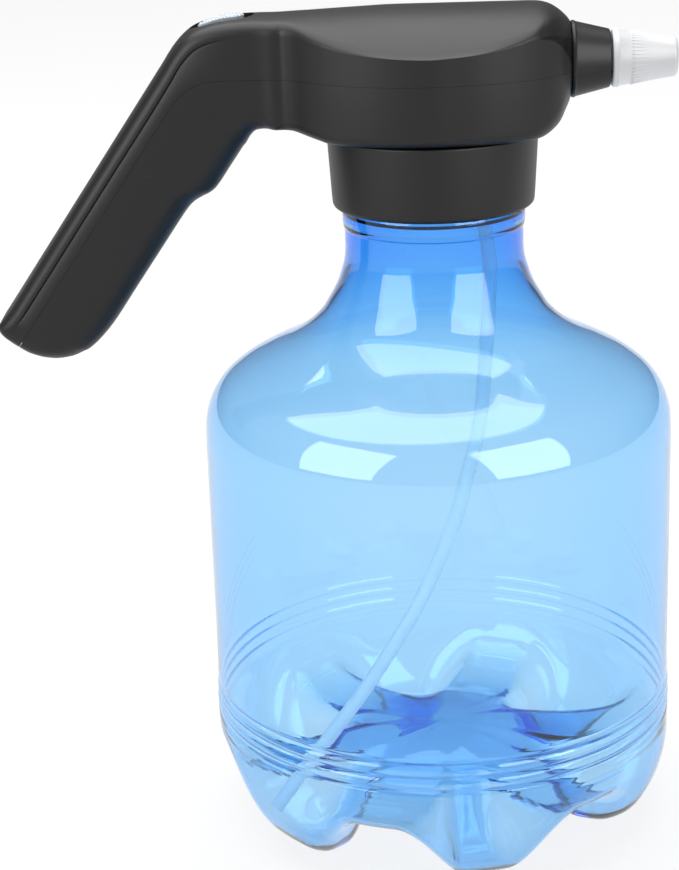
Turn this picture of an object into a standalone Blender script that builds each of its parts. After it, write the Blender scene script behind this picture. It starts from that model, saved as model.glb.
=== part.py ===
"""A battery spray bottle: a clear carboy on six feet, a captive screw collar, and a head that holds
a motor, a gear pump, an adjustable nozzle and, in its slanting handle, the battery cell.
Everything is built about the bottle's axis and hangs on one empty that stands at BOTTLE_X."""

import math

import bmesh
import bpy
from mathutils import Matrix, Vector

# Driving dimensions, in metres, from the bottle's axis and the plane that its feet stand on.
BOTTLE_X = 0.0322
GAP = 0.0003

BODY_R = 0.0750
FEET = 6
FOOT_TURN = math.radians(12 - 90)
BOTTLE_WALL = 0.0011
BOTTLE_STEPS = 36
NECK_R = 0.0264
RIM_Z = 0.2179
NECK_PITCH = 0.0045
NECK_TURNS = 1.3

COLLAR_BOTTOM_Z = 0.2056
COLLAR_TOP_Z = 0.2286
COLLAR_BOTTOM_R = 0.0315
COLLAR_TOP_R = 0.0328
COLLAR_BORE_R = 0.0294
WEB_BOTTOM_Z = 0.2222
WEB_TOP_Z = 0.2247
SPIGOT_R = 0.0215
SPIGOT_BORE_R = 0.0195
SPIGOT_BOTTOM_Z = 0.2222

HEAD_WALL = 0.0022
POD_LENGTH_R = 0.0450
POD_WIDTH_R = 0.0340
POD_TOP_Z = 0.2670
POD_FLOOR_Z = 0.2290
POD_NOSE_X = 0.0424
NOSE_R = 0.0116
CROWN = 10.5
EDGE_R = 0.0036
LOWER_EDGE_R = 0.0030
GRIP_EDGE_R = 0.0088
ARM_HALF_WIDTH = 0.0135
PARTING_Z = 0.2473
PARTING_DEPTH = 0.0094

HANDLE_TOP = Vector((-0.0758, 0, 0.2611))
HANDLE_DOWN = Vector((-0.5735, 0, -0.8192)).normalized()
HANDLE_FORWARD = Vector((0.8192, 0, -0.5735)).normalized()
GRIP_DEPTH = 0.0305
UPPER_GRIP_DEPTH = 0.0345

NOZZLE_Z = 0.2493
SLEEVE_TIP_X = 0.0546
SLEEVE_TIP_R = 0.0090
CAP_BACK_X = 0.0551
CAP_TIP_X = 0.0750
CAP_BACK_R = 0.00885
CAP_TIP_R = 0.0061
NOZZLE_PITCH = 0.0020
NOZZLE_TURNS = 2.2

GEAR_Z = 0.2455
GEAR_OFFSET_Y = 0.0045
GEAR_TEETH = 10
GEAR_TIP_R = 0.0053
GEAR_ROOT_R = 0.0034
GEAR_BORE_R = 0.0013
GEAR_BACK_X = 0.0090
GEAR_FRONT_X = 0.0160
PUMP_BACK_X = 0.0086
PUMP_FRONT_X = 0.0210
PUMP_HALF_WIDTH = 0.0145
PUMP_HALF_HEIGHT = 0.0088
INLET_X = 0.0125
PUMP_SCREW_SPOTS = ((-0.0124, 0.0050), (0.0124, -0.0050))

MOTOR_BACK_X = -0.0213
MOTOR_FRONT_X = 0.0057
MOTOR_R = 0.0104
SHAFT_R = 0.0010

CELL_R = 0.0092
CELL_START = 0.0380
CELL_LENGTH = 0.0650
CELL_DEPTH = 0.01525
PORT_DEPTH = 0.0146

BUTTON_X = -0.0640
BUTTON_TOP_Z = 0.2654
BUTTON_CROWN_R = 0.0300
BUTTON_RIDGES = 11
BUTTON_LENGTH = 0.0142
BUTTON_WIDTH = 0.0096
BOARD_TOP_Z = 0.2543

POD_SCREW_Y = 0.0236
ROOT_SCREW_X = -0.0470
HANDLE_SCREW = 0.0335

DIP_TUBE_R = 0.0023
DIP_TUBE_ROUTE = (
    (0.0125, 0.0, 0.2125), (0.0126, 0.0, 0.2095), (0.0152, 0.0, 0.2005), (0.0172, 0.0, 0.1880),
    (0.0169, 0.0, 0.1740), (0.0159, -0.0005, 0.1580), (0.0145, -0.0015, 0.1410), (0.0120, -0.0030, 0.1260),
    (0.0089, -0.0045, 0.1143), (0.0054, -0.0065, 0.1020), (0.0003, -0.0090, 0.0898),
    (-0.0061, -0.0122, 0.0765),
    (-0.0148, -0.0168, 0.0627), (-0.0250, -0.0228, 0.0490), (-0.0352, -0.0284, 0.0370),
    (-0.0452, -0.0332, 0.0250), (-0.0545, -0.0370, 0.0135),
)


def clear_scene():
    for old in list(bpy.data.objects):
        bpy.data.objects.remove(old, do_unlink=True)


clear_scene()
PARTS = bpy.data.collections.new("battery_spray_bottle")
CUTTERS = bpy.data.collections.new("cutters")
bpy.context.scene.collection.children.link(PARTS)
bpy.context.scene.collection.children.link(CUTTERS)
STAND = bpy.data.objects.new("bottle_axis", None)
STAND.location = (BOTTLE_X, 0, 0)
PARTS.objects.link(STAND)


def material(name, colour, roughness, metallic=0.0, alpha=1.0):
    made = bpy.data.materials.new(name)
    made.use_nodes = True
    shader = made.node_tree.nodes["Principled BSDF"]
    shader.inputs["Base Color"].default_value = (*colour, 1.0)
    shader.inputs["Roughness"].default_value = roughness
    shader.inputs["Metallic"].default_value = metallic
    shader.inputs["Alpha"].default_value = alpha
    return made


BLUE_CLEAR = material("blue_clear_plastic", (0.10, 0.42, 0.95), 0.08, alpha=0.4)
CHARCOAL = material("charcoal_plastic", (0.035, 0.034, 0.036), 0.42)
WHITE = material("white_plastic", (0.86, 0.87, 0.88), 0.35)
MILKY = material("milky_tube", (0.80, 0.90, 0.98), 0.30, alpha=0.6)
GREY = material("grey_plastic", (0.30, 0.31, 0.33), 0.45)
SILICONE = material("clear_silicone", (0.78, 0.80, 0.80), 0.35)
RUBBER = material("black_rubber", (0.02, 0.02, 0.02), 0.70)
STEEL = material("steel", (0.62, 0.63, 0.65), 0.28, 1.0)
BRASS = material("brass", (0.75, 0.58, 0.26), 0.30, 1.0)
BOARD_GREEN = material("board_green", (0.03, 0.20, 0.10), 0.40)
CELL_BLUE = material("cell_wrap", (0.05, 0.16, 0.45), 0.35)
RED = material("red_wire", (0.60, 0.03, 0.02), 0.45)
BLACK_WIRE = material("black_wire", (0.02, 0.02, 0.02), 0.45)


def place(name, mesh, paint=None, location=(0, 0, 0), rotation=(0, 0, 0)):
    """A new object on the bottle's axis. It is a cutter unless it is given a material."""
    made = bpy.data.objects.new(name, mesh)
    (PARTS if paint else CUTTERS).objects.link(made)
    made.parent = STAND
    made.location = location
    made.rotation_euler = rotation
    if paint:
        mesh.materials.append(paint)
    else:
        made.hide_render = True
        made.display_type = "WIRE"
    return made


def settle(made):
    """Makes the modifiers' result the object's own mesh, smooth except at its sharp edges."""
    bpy.context.view_layer.update()
    graph = bpy.context.evaluated_depsgraph_get()
    mesh = bpy.data.meshes.new_from_object(made.evaluated_get(graph))
    paints = [slot for slot in made.data.materials if slot]
    made.modifiers.clear()
    made.data = mesh
    mesh.materials.clear()
    for paint in paints:
        mesh.materials.append(paint)
    mesh.shade_smooth()
    mesh.set_sharp_from_angle(angle=math.radians(35))
    return made


def boolean(made, other, operation="DIFFERENCE"):
    step = made.modifiers.new(operation.lower(), "BOOLEAN")
    step.operation = operation
    step.solver = "EXACT"
    step.object = other
    return step


def cut(made, *cutters):
    for cutter in cutters:
        boolean(made, cutter)
    return settle(made)


def join(made, *others):
    for other in others:
        boolean(made, other, "UNION")
    settle(made)
    for other in others:
        bpy.data.objects.remove(other, do_unlink=True)
    return made


def closed_mesh(name, shape):
    bmesh.ops.recalc_face_normals(shape, faces=shape.faces)
    mesh = bpy.data.meshes.new(name)
    shape.to_mesh(mesh)
    shape.free()
    return mesh


def turned(name, profile, steps, paint=None, location=(0, 0, 0), rotation=(0, 0, 0)):
    """Turns (radius, height) points about the object's Z. A profile that leaves the axis is a ring."""
    mesh = bpy.data.meshes.new(name)
    links = [(i, i + 1) for i in range(len(profile) - 1)]
    if profile[0][0] > 0 or profile[-1][0] > 0:
        links.append((len(profile) - 1, 0))
    mesh.from_pydata([(radius, 0, height) for radius, height in profile], links, [])
    made = place(name, mesh, paint, location, rotation)
    screw = made.modifiers.new("turn", "SCREW")
    screw.steps = steps
    screw.render_steps = steps
    screw.use_merge_vertices = True
    screw.merge_threshold = 0.00001
    return settle(made)


ALONG_X = (0, math.radians(90), 0)


def turned_on_x(name, profile, steps, paint=None, y=0.0, z=NOZZLE_Z):
    """The same about an axis along X at (y, z), with the profile's heights read as places along X."""
    return turned(name, profile, steps, paint, (0, y, z), ALONG_X)


def rod(name, radius, start, end, steps, paint=None):
    """A plain cylinder between two points."""
    start, end = Vector(start), Vector(end)
    shape = bmesh.new()
    bmesh.ops.create_cone(
        shape, cap_ends=True, segments=steps, radius1=radius, radius2=radius, depth=(end - start).length
    )
    made = place(name, closed_mesh(name, shape), paint, (start + end) / 2)
    made.rotation_euler = (end - start).to_track_quat("Z", "Y").to_euler()
    return settle(made)


def block(name, low, high, paint=None, bevel=0.0):
    """A box between two corners."""
    shape = bmesh.new()
    size = Vector(high) - Vector(low)
    bmesh.ops.create_cube(shape, size=1.0, matrix=Matrix.Diagonal((*size, 1.0)))
    made = place(name, closed_mesh(name, shape), paint, (Vector(high) + Vector(low)) / 2)
    if bevel:
        edges = made.modifiers.new("edges", "BEVEL")
        edges.width = bevel
        edges.segments = 2
    return settle(made)


def in_handle(down, depth, side=0.0):
    """A point at this distance down the handle, this far forward of its back, and to one side."""
    return HANDLE_TOP + HANDLE_DOWN * down + HANDLE_FORWARD * depth + Vector((0, side, 0))


def handle_block(name, low, high, paint=None):
    """A box in the handle's own directions: down, forward and sideways."""
    shape = bmesh.new()
    size = Vector(high) - Vector(low)
    bmesh.ops.create_cube(shape, size=1.0, matrix=Matrix.Diagonal((*size, 1.0)))
    made = place(name, closed_mesh(name, shape), paint)
    middle = (Vector(high) + Vector(low)) / 2
    axes = Matrix((HANDLE_DOWN, HANDLE_FORWARD, Vector((0, -1, 0)))).transposed()
    made.location = in_handle(middle.x, middle.y, middle.z)
    made.rotation_euler = axes.to_euler()
    return settle(made)


def loft(name, rings, paint=None):
    """Skins a row of rings that all have the same number of points, and closes both ends."""
    shape = bmesh.new()
    rows = [[shape.verts.new(point) for point in ring] for ring in rings]
    count = len(rings[0])
    for near, far in zip(rows, rows[1:]):
        for i in range(count):
            shape.faces.new((near[i], near[(i + 1) % count], far[(i + 1) % count], far[i]))
    shape.faces.new(rows[0])
    shape.faces.new(rows[-1])
    return place(name, closed_mesh(name, shape), paint)


def prism(name, outline, half_width, paint=None):
    """An outline in the XZ plane, given thickness to both sides of it."""
    shape = bmesh.new()
    near = [shape.verts.new((x, -half_width, z)) for x, z in outline]
    face = shape.faces.new(near)
    swept = bmesh.ops.extrude_face_region(shape, geom=[face])
    moved = [item for item in swept["geom"] if isinstance(item, bmesh.types.BMVert)]
    bmesh.ops.translate(shape, verts=moved, vec=(0, 2 * half_width, 0))
    return place(name, closed_mesh(name, shape), paint)


def helix_ridge(name, root_r, crest_r, foot_width, crest_width, pitch, turns, start, steps=20):
    """A thread's ridge about Z, rising from height start, that fades in and out over a tenth of a turn."""
    rings = []
    count = int(steps * turns)
    for i in range(count + 1):
        angle = 2 * math.pi * turns * i / count
        fade = min(1.0, min(i, count - i) / (0.1 * steps) + 0.08)
        middle = start + pitch * angle / (2 * math.pi)
        out = Vector((math.cos(angle), math.sin(angle), 0))
        crest = root_r + (crest_r - root_r) * fade
        foot, tip = foot_width * (0.4 + 0.6 * fade) / 2, crest_width * fade / 2
        up = Vector((0, 0, 1))
        rings.append([
            out * root_r + up * (middle - foot), out * crest + up * (middle - tip),
            out * crest + up * (middle + tip), out * root_r + up * (middle + foot),
        ])
    return loft(name, rings)


def smooth_route(points, per_span):
    """Points along one smooth curve through the route's own points."""
    points = [Vector(point) for point in points]
    ends = [2 * points[0] - points[1], *points, 2 * points[-1] - points[-2]]
    route = []
    for a, b, c, d in zip(ends, ends[1:], ends[2:], ends[3:]):
        for i in range(per_span):
            t = i / per_span
            route.append(0.5 * (
                2 * b + (c - a) * t + (2 * a - 5 * b + 4 * c - d) * t**2 + (3 * b - a - 3 * c + d) * t**3
            ))
    return route + [points[-1]]


def tube(name, route, radius, paint, resolution=2):
    """A round wire or tube along points, as a curve with filled caps."""
    curve = bpy.data.curves.new(name, "CURVE")
    curve.dimensions = "3D"
    curve.bevel_depth = radius
    curve.bevel_resolution = resolution
    curve.use_fill_caps = True
    line = curve.splines.new("POLY")
    line.points.add(len(route) - 1)
    for point, place_at in zip(line.points, route):
        point.co = (*place_at, 1.0)
    made = bpy.data.objects.new(name, curve)
    PARTS.objects.link(made)
    made.parent = STAND
    curve.materials.append(paint)
    return made


# ---------------------------------------------------------------- the bottle
def bottle_wall_points():
    """(radius, height) down the outside, from the rim to where the base begins."""
    points = [(NECK_R, RIM_Z), (NECK_R, 0.2074), (0.0286, 0.2060), (0.0286, 0.1995), (0.0282, 0.1985)]
    points += [(0.0283, 0.1895), (0.0303, 0.1822), (0.0343, 0.1745), (0.0415, 0.1662)]
    points += [(0.0530, 0.1590), (0.0640, 0.1533), (0.0712, 0.1462), (0.0744, 0.1385), (BODY_R, 0.1300)]
    return points + [(BODY_R, 0.0470), (0.0736, 0.0415), (0.0754, 0.0380)]


VALLEY = (
    (0.0754, 0.0340), (0.0751, 0.0300), (0.0730, 0.0252), (0.0680, 0.0212), (0.0605, 0.0186),
    (0.0520, 0.0176), (0.0420, 0.0178), (0.0310, 0.0195), (0.0200, 0.0216), (0.0100, 0.0230),
)
FOOT = (
    (0.0754, 0.0340), (0.0752, 0.0250), (0.0728, 0.0155), (0.0675, 0.0070), (0.0600, 0.0016),
    (0.0535, 0.0000), (0.0465, 0.0000), (0.0415, 0.0032), (0.0350, 0.0135), (0.0200, 0.0214),
)
GATE_Z = 0.0233


def foot_share(angle):
    """1 on the flat of a foot, 0 along a valley, and a smooth rise between."""
    turn = math.cos(FEET * (angle - FOOT_TURN))
    share = min(1.0, max(0.0, (turn + 0.80) / 1.30))
    return share * share * (3 - 2 * share)


def bottle_outside():
    """The open outer skin, a ring for each point of the wall, then the base down to its gate."""
    shape = bmesh.new()
    angles = [FOOT_TURN + 2 * math.pi * i / BOTTLE_STEPS for i in range(BOTTLE_STEPS)]
    rings = [[(radius, height)] * BOTTLE_STEPS for radius, height in bottle_wall_points()]
    for (valley_r, valley_z), (foot_r, foot_z) in zip(VALLEY, FOOT):
        shares = [foot_share(angle) for angle in angles]
        rings.append([
            (valley_r + (foot_r - valley_r) * s, valley_z + (foot_z - valley_z) * s) for s in shares
        ])
    rows = []
    for ring in rings:
        rows.append([
            shape.verts.new((radius * math.cos(a), radius * math.sin(a), height))
            for a, (radius, height) in zip(angles, ring)
        ])
    for upper, lower in zip(rows, rows[1:]):
        for i in range(BOTTLE_STEPS):
            j = (i + 1) % BOTTLE_STEPS
            shape.faces.new((upper[j], upper[i], lower[i], lower[j]))
    gate = shape.verts.new((0, 0, GATE_Z))
    for i in range(BOTTLE_STEPS):
        shape.faces.new((rows[-1][(i + 1) % BOTTLE_STEPS], rows[-1][i], gate))
    bmesh.ops.recalc_face_normals(shape, faces=shape.faces)
    mesh = bpy.data.meshes.new("bottle")
    shape.to_mesh(mesh)
    shape.free()
    return mesh


def build_bottle():
    bottle = place("bottle", bottle_outside(), BLUE_CLEAR)
    wall = bottle.modifiers.new("wall", "SOLIDIFY")
    wall.thickness = BOTTLE_WALL
    wall.offset = -1
    wall.use_even_offset = True
    settle(bottle)
    ridge = helix_ridge(
        "neck_thread", NECK_R - 0.0004, 0.0284, 0.0020, 0.0009, NECK_PITCH, NECK_TURNS, 0.2092, 16
    )
    return join(bottle, ridge)


# ---------------------------------------------------------------- the collar and the neck's seals
def build_collar():
    profile = (
        (COLLAR_TOP_R - 0.0006, COLLAR_TOP_Z), (COLLAR_TOP_R, COLLAR_TOP_Z - 0.0006),
        (COLLAR_BOTTOM_R + 0.0003, COLLAR_BOTTOM_Z + 0.0030), (COLLAR_BOTTOM_R - 0.0004, COLLAR_BOTTOM_Z + 0.0009),
        (COLLAR_BOTTOM_R - 0.0014, COLLAR_BOTTOM_Z), (COLLAR_BORE_R, COLLAR_BOTTOM_Z),
        (COLLAR_BORE_R, WEB_BOTTOM_Z), (SPIGOT_R + GAP, WEB_BOTTOM_Z), (SPIGOT_R + GAP, WEB_TOP_Z),
        (COLLAR_TOP_R - 0.0026, WEB_TOP_Z), (COLLAR_TOP_R - 0.0026, COLLAR_TOP_Z),
    )
    collar = turned("screw_collar", profile, 40, CHARCOAL)
    ridge = helix_ridge(
        "collar_thread", COLLAR_BORE_R + 0.0004, 0.0272, 0.0018, 0.0008,
        NECK_PITCH, NECK_TURNS, 0.2092 + NECK_PITCH / 2, 16,
    )
    return join(collar, ridge)


def build_neck_parts():
    flange_top = SPIGOT_BOTTOM_Z - GAP
    flange = turned("neck_flange", (
        (0, flange_top), (0.0267, flange_top), (0.0267, flange_top - 0.0019), (0, flange_top - 0.0019),
    ), 36, CHARCOAL)
    cut(flange, rod("fitting_hole", 0.0029, (INLET_X, 0, 0.2150), (INLET_X, 0, 0.2250), 20))
    gasket_top = flange_top - 0.0019 - GAP
    turned("neck_gasket", (
        (0.0264, gasket_top), (0.0264, RIM_Z + GAP), (0.0226, RIM_Z + GAP), (0.0226, gasket_top),
    ), 32, RUBBER)
    fitting = (
        (0.0020, 0.2290), (0.0026, 0.2270), (0.0023, 0.2252), (0.0026, 0.2238), (0.0045, 0.2238),
        (0.0045, 0.2225), (0.0026, 0.2225), (0.0026, 0.2160), (0.0023, 0.2145), (0.0023, 0.2130),
        (0.0012, 0.2130), (0.0012, 0.2290),
    )
    turned("inlet_fitting", fitting, 16, WHITE, (INLET_X, 0, 0))
    turned("inlet_hose", ((0.0038, 0.2364), (0.0038, 0.2241), (0.0029, 0.2241), (0.0029, 0.2364)), 20,
           SILICONE, (INLET_X, 0, 0))


# ---------------------------------------------------------------- the head's two shells
def pod_half_width(x):
    """An oval in plan, which meets the handle's root in a small hollow curve."""
    oval = POD_WIDTH_R * math.sqrt(max(0.0, 1 - (x / POD_LENGTH_R) ** 2))
    if x > 0:
        return max(oval, NOSE_R)
    blend = 0.0025
    return (oval + ARM_HALF_WIDTH + math.sqrt((oval - ARM_HALF_WIDTH) ** 2 + blend**2)) / 2


def pod_stations():
    """(top, bottom, half width, upper and lower edge radius), from the nose back to the root."""
    stations = [
        (POD_NOSE_X, 0.2609, 0.2377, NOSE_R, NOSE_R, NOSE_R),
        (0.0408, 0.2628, 0.2353, 0.0142, 0.0100, 0.0085),
        (0.0388, 0.2645, 0.2325, 0.0173, 0.0080, 0.0060),
        (0.0363, 0.2660, 0.2306, 0.0202, 0.0065, 0.0050),
    ]
    stations += [(0.0335, 0.2668, 0.2293, pod_half_width(0.0335), 0.0055, 0.0042)]
    for x in (0.028, 0.019, 0.007, -0.007, -0.019, -0.029, -0.036, -0.0395, -0.0425, -0.0465):
        droop = 0.0015 * min(1.0, max(0.0, (-x - 0.012) / 0.035))
        rise = 0.0026 * min(1.0, max(0.0, (-x - 0.030) / 0.012))
        stations.append((x, POD_TOP_Z - droop, POD_FLOOR_Z + rise, pod_half_width(x), EDGE_R, LOWER_EDGE_R))
    return [(Vector((x, 0, top)), Vector((x, 0, bottom)), *rest) for x, top, bottom, *rest in stations]


def handle_stations():
    """The bend above the fingers, the handle and its rounded end."""
    bend = (
        ((-0.0535, 0.2655), (-0.0508, 0.2317), 0.0050), ((-0.0620, 0.2651), (-0.0540, 0.2311), 0.0065),
        ((-0.0688, 0.2638), (-0.0560, 0.2292), 0.0075), ((-0.0740, 0.2615), (-0.0575, 0.2268), 0.0085),
    )
    stations = [
        (Vector((top[0], 0, top[1])), Vector((foot[0], 0, foot[1])), ARM_HALF_WIDTH, EDGE_R, radius)
        for top, foot, radius in bend
    ]
    down_pairs = ((0.005, 0.0190, UPPER_GRIP_DEPTH), (0.013, 0.0215, UPPER_GRIP_DEPTH))
    down_pairs += ((0.024, 0.0265, UPPER_GRIP_DEPTH), (0.033, 0.0335, UPPER_GRIP_DEPTH))
    down_pairs += ((0.0375, 0.0380, 0.0332), (0.042, 0.0420, 0.0312), (0.047, 0.0470, GRIP_DEPTH))
    down_pairs += ((0.094, 0.0940, GRIP_DEPTH),)
    for down, bottom_down, depth in down_pairs:
        top, bottom = in_handle(down, 0), in_handle(bottom_down, depth)
        stations.append((top, bottom, ARM_HALF_WIDTH, EDGE_R, GRIP_EDGE_R))
    end = (
        (0.1010, 0.0, 0.0993, 0.0292, 0.0135), (0.1060, 0.0, 0.1040, 0.0268, 0.0133),
        (0.1095, 0.0, 0.1078, 0.0240, 0.0127), (0.1112, 0.0010, 0.1105, 0.0205, 0.0114),
        (0.1126, 0.0040, 0.1124, 0.0165, 0.0090),
    )
    for down, depth, bottom_down, bottom_depth, width in end:
        top, bottom = in_handle(down, depth), in_handle(bottom_down, bottom_depth)
        stations.append((top, bottom, width, EDGE_R, min(GRIP_EDGE_R, 0.45 * (top - bottom).length)))
    return stations


def section(top, bottom, half_width, upper_radius, lower_radius, inset):
    """A ring with four rounded edges in the plane of top, bottom and Y, crowned along its upper side."""
    up = (top - bottom).normalized()
    reach = (top - bottom).length / 2 - inset
    middle = (top + bottom) / 2
    width = half_width - inset
    upper = min(max(upper_radius - inset, 0.0008), width, reach)
    lower = min(max(lower_radius - inset, 0.0008), width, reach)
    outline = [(width, 0.0)]
    for centre_side, centre_lift, radius, first in (
        (width - upper, reach - upper, upper, 0), (upper - width, reach - upper, upper, 90),
        (lower - width, lower - reach, lower, 180), (width - lower, lower - reach, lower, 270),
    ):
        for step in (0.08, 0.5, 0.92):
            angle = math.radians(first + 90 * step)
            outline.append((centre_side + radius * math.cos(angle), centre_lift + radius * math.sin(angle)))
        if first == 0:
            outline += [(0.55 * width, reach), (0.0, reach), (-0.55 * width, reach)]
        if first == 90:
            outline.append((-width, 0.0))
        if first == 180:
            outline.append((0.0, -reach))
    ring = []
    for side, lift in outline:
        crowned = half_width > ARM_HALF_WIDTH - 0.001
        drop = CROWN * side * side * max(0.0, lift / reach) ** 2 if crowned else 0.0
        ring.append(middle + up * (lift - drop) + Vector((0, side, 0)))
    return ring


def head_body(name, inset):
    stations = pod_stations() + handle_stations()
    if inset:
        stations = stations[1:-2]
    rings = [section(*station, inset) for station in stations]
    return loft(name, rings)


def parting_line(shift):
    """(x, z) from in front of the nozzle to past the handle's end, moved up and back by shift."""
    level = PARTING_Z + shift
    corner_down = (HANDLE_TOP.z - level + HANDLE_FORWARD.z * (PARTING_DEPTH - shift)) / -HANDLE_DOWN.z
    corner = in_handle(corner_down, PARTING_DEPTH - shift)
    bend = 0.0095
    start, end = Vector((corner.x + bend, 0, level)), corner + HANDLE_DOWN * bend
    line = [Vector((0.070, 0, level))]
    for i in range(7):
        t = i / 6
        line.append(start * (1 - t) ** 2 + corner * 2 * t * (1 - t) + end * t * t)
    line.append(in_handle(0.130, PARTING_DEPTH - shift))
    return [(point.x, point.z) for point in line]


def shell_side(name, upper):
    """Everything above and behind the parting line, or everything below and in front of it."""
    if upper:
        outline = parting_line(GAP / 2) + [(-0.20, 0.14), (-0.20, 0.30), (0.070, 0.30)]
    else:
        outline = parting_line(-GAP / 2) + [(-0.10, 0.10), (0.070, 0.10)]
    return prism(name, outline, 0.050)


def screw_spots():
    """(name, point at the head's lower side, direction into the head, height of the upper post)."""
    up = Vector((0, 0, 1))
    front = in_handle(HANDLE_SCREW, UPPER_GRIP_DEPTH)
    return (
        (Vector((0, POD_SCREW_Y, POD_FLOOR_Z)), up, 0.0292),
        (Vector((0, -POD_SCREW_Y, POD_FLOOR_Z)), up, 0.0292),
        (Vector((ROOT_SCREW_X, 0, 0.2316)), up, 0.0325),
        (front, -HANDLE_FORWARD, 0.0335),
    )


def screw_seat(index, spot, into):
    """A stepped hole for a countersunk housing screw, from outside the lower shell."""
    hole = turned(f"screw_hole_{index}", (
        (0, 0.0255), (0.0015, 0.0255), (0.0015, 0.0062), (0.0031, 0.0062), (0.0031, -0.0040), (0, -0.0040),
    ), 20)
    hole.location = spot
    hole.rotation_euler = into.to_track_quat("Z", "Y").to_euler()
    return hole


def oval_prism(name, length, width, low, high, tilt=0.0, steps=10):
    """A slot with round ends on the button's axis, from one height to the other."""
    straight = (length - width) / 2
    outline = []
    for side in (1, -1):
        for i in range(steps + 1):
            angle = math.pi * (i / steps - 0.5)
            outline.append((side * (straight + width / 2 * math.cos(angle)), side * width / 2 * math.sin(angle)))
    rings = [[Vector((x, y, height)) for x, y in outline] for height in (low, high)]
    made = loft(name, rings)
    made.location = (BUTTON_X, 0, 0.2645)
    made.rotation_euler = (0, tilt, 0)
    return made


WELL_TILT = math.radians(-11)


def build_housings():
    shell = head_body("head_shell", 0.0)
    cut(shell, head_body("head_inside", HEAD_WALL))
    spots = screw_spots()
    columns = [
        rod(f"column_{i}", 0.0034, spot + into * 0.0010, spot + into * reach, 20)
        for i, (spot, into, reach) in enumerate(spots)
    ]
    spigot = rod("spigot", SPIGOT_R, (0, 0, SPIGOT_BOTTOM_Z), (0, 0, POD_FLOOR_Z + 0.0012), 40)
    cradles = [
        block(f"cradle_{i}", (x, -0.0240, POD_FLOOR_Z + 0.0012), (x + 0.0020, 0.0240, 0.2400))
        for i, x in enumerate((-0.0180, -0.0020))
    ]
    join(shell, spigot, *columns, *cradles)
    cut(
        shell,
        rod("throat", SPIGOT_BORE_R, (0, 0, 0.2200), (0, 0, 0.2330), 40),
        rod("nose_hole", 0.0090, (0.0360, 0, NOZZLE_Z), (0.0480, 0, NOZZLE_Z), 32),
        rod("motor_room", MOTOR_R + GAP, (-0.0300, -GEAR_OFFSET_Y, GEAR_Z), (0.0060, -GEAR_OFFSET_Y, GEAR_Z), 32),
        oval_prism("button_room", BUTTON_LENGTH + 0.0038, BUTTON_WIDTH + 0.0038, -0.0120, -0.0039),
        oval_prism("well", 0.0186, 0.0126, -0.0012, 0.0080, WELL_TILT),
        oval_prism("button_hole", BUTTON_LENGTH + 0.0008, BUTTON_WIDTH + 0.0008, -0.0080, 0.0080),
        handle_block("port_recess", (0.1110, PORT_DEPTH - 0.0034, -0.0064),
                     (0.1200, PORT_DEPTH + 0.0034, 0.0064)),
        handle_block("port_hole", (0.1000, PORT_DEPTH - 0.0020, -0.0049),
                     (0.1200, PORT_DEPTH + 0.0020, 0.0049)),
        *[screw_seat(i, spot, into) for i, (spot, into, _) in enumerate(spots)],
    )
    for name, upper in (("upper_housing", True), ("lower_housing", False)):
        half = place(name, shell.data.copy(), CHARCOAL)
        half.data.materials.clear()
        half.data.materials.append(CHARCOAL)
        boolean(half, shell_side(f"{name}_side", upper), "INTERSECT")
        settle(half)
    bpy.data.objects.remove(shell, do_unlink=True)
    for i, (spot, into, _) in enumerate(spots):
        screw = turned(f"housing_screw_{i + 1}", (
            (0, 0.0240), (0.0012, 0.0225), (0.0012, 0.0059),
            (0.0028, 0.0059), (0.0028, 0.0040), (0, 0.0040),
        ), 14, STEEL)
        screw.location = spot
        screw.rotation_euler = into.to_track_quat("Z", "Y").to_euler()


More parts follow.
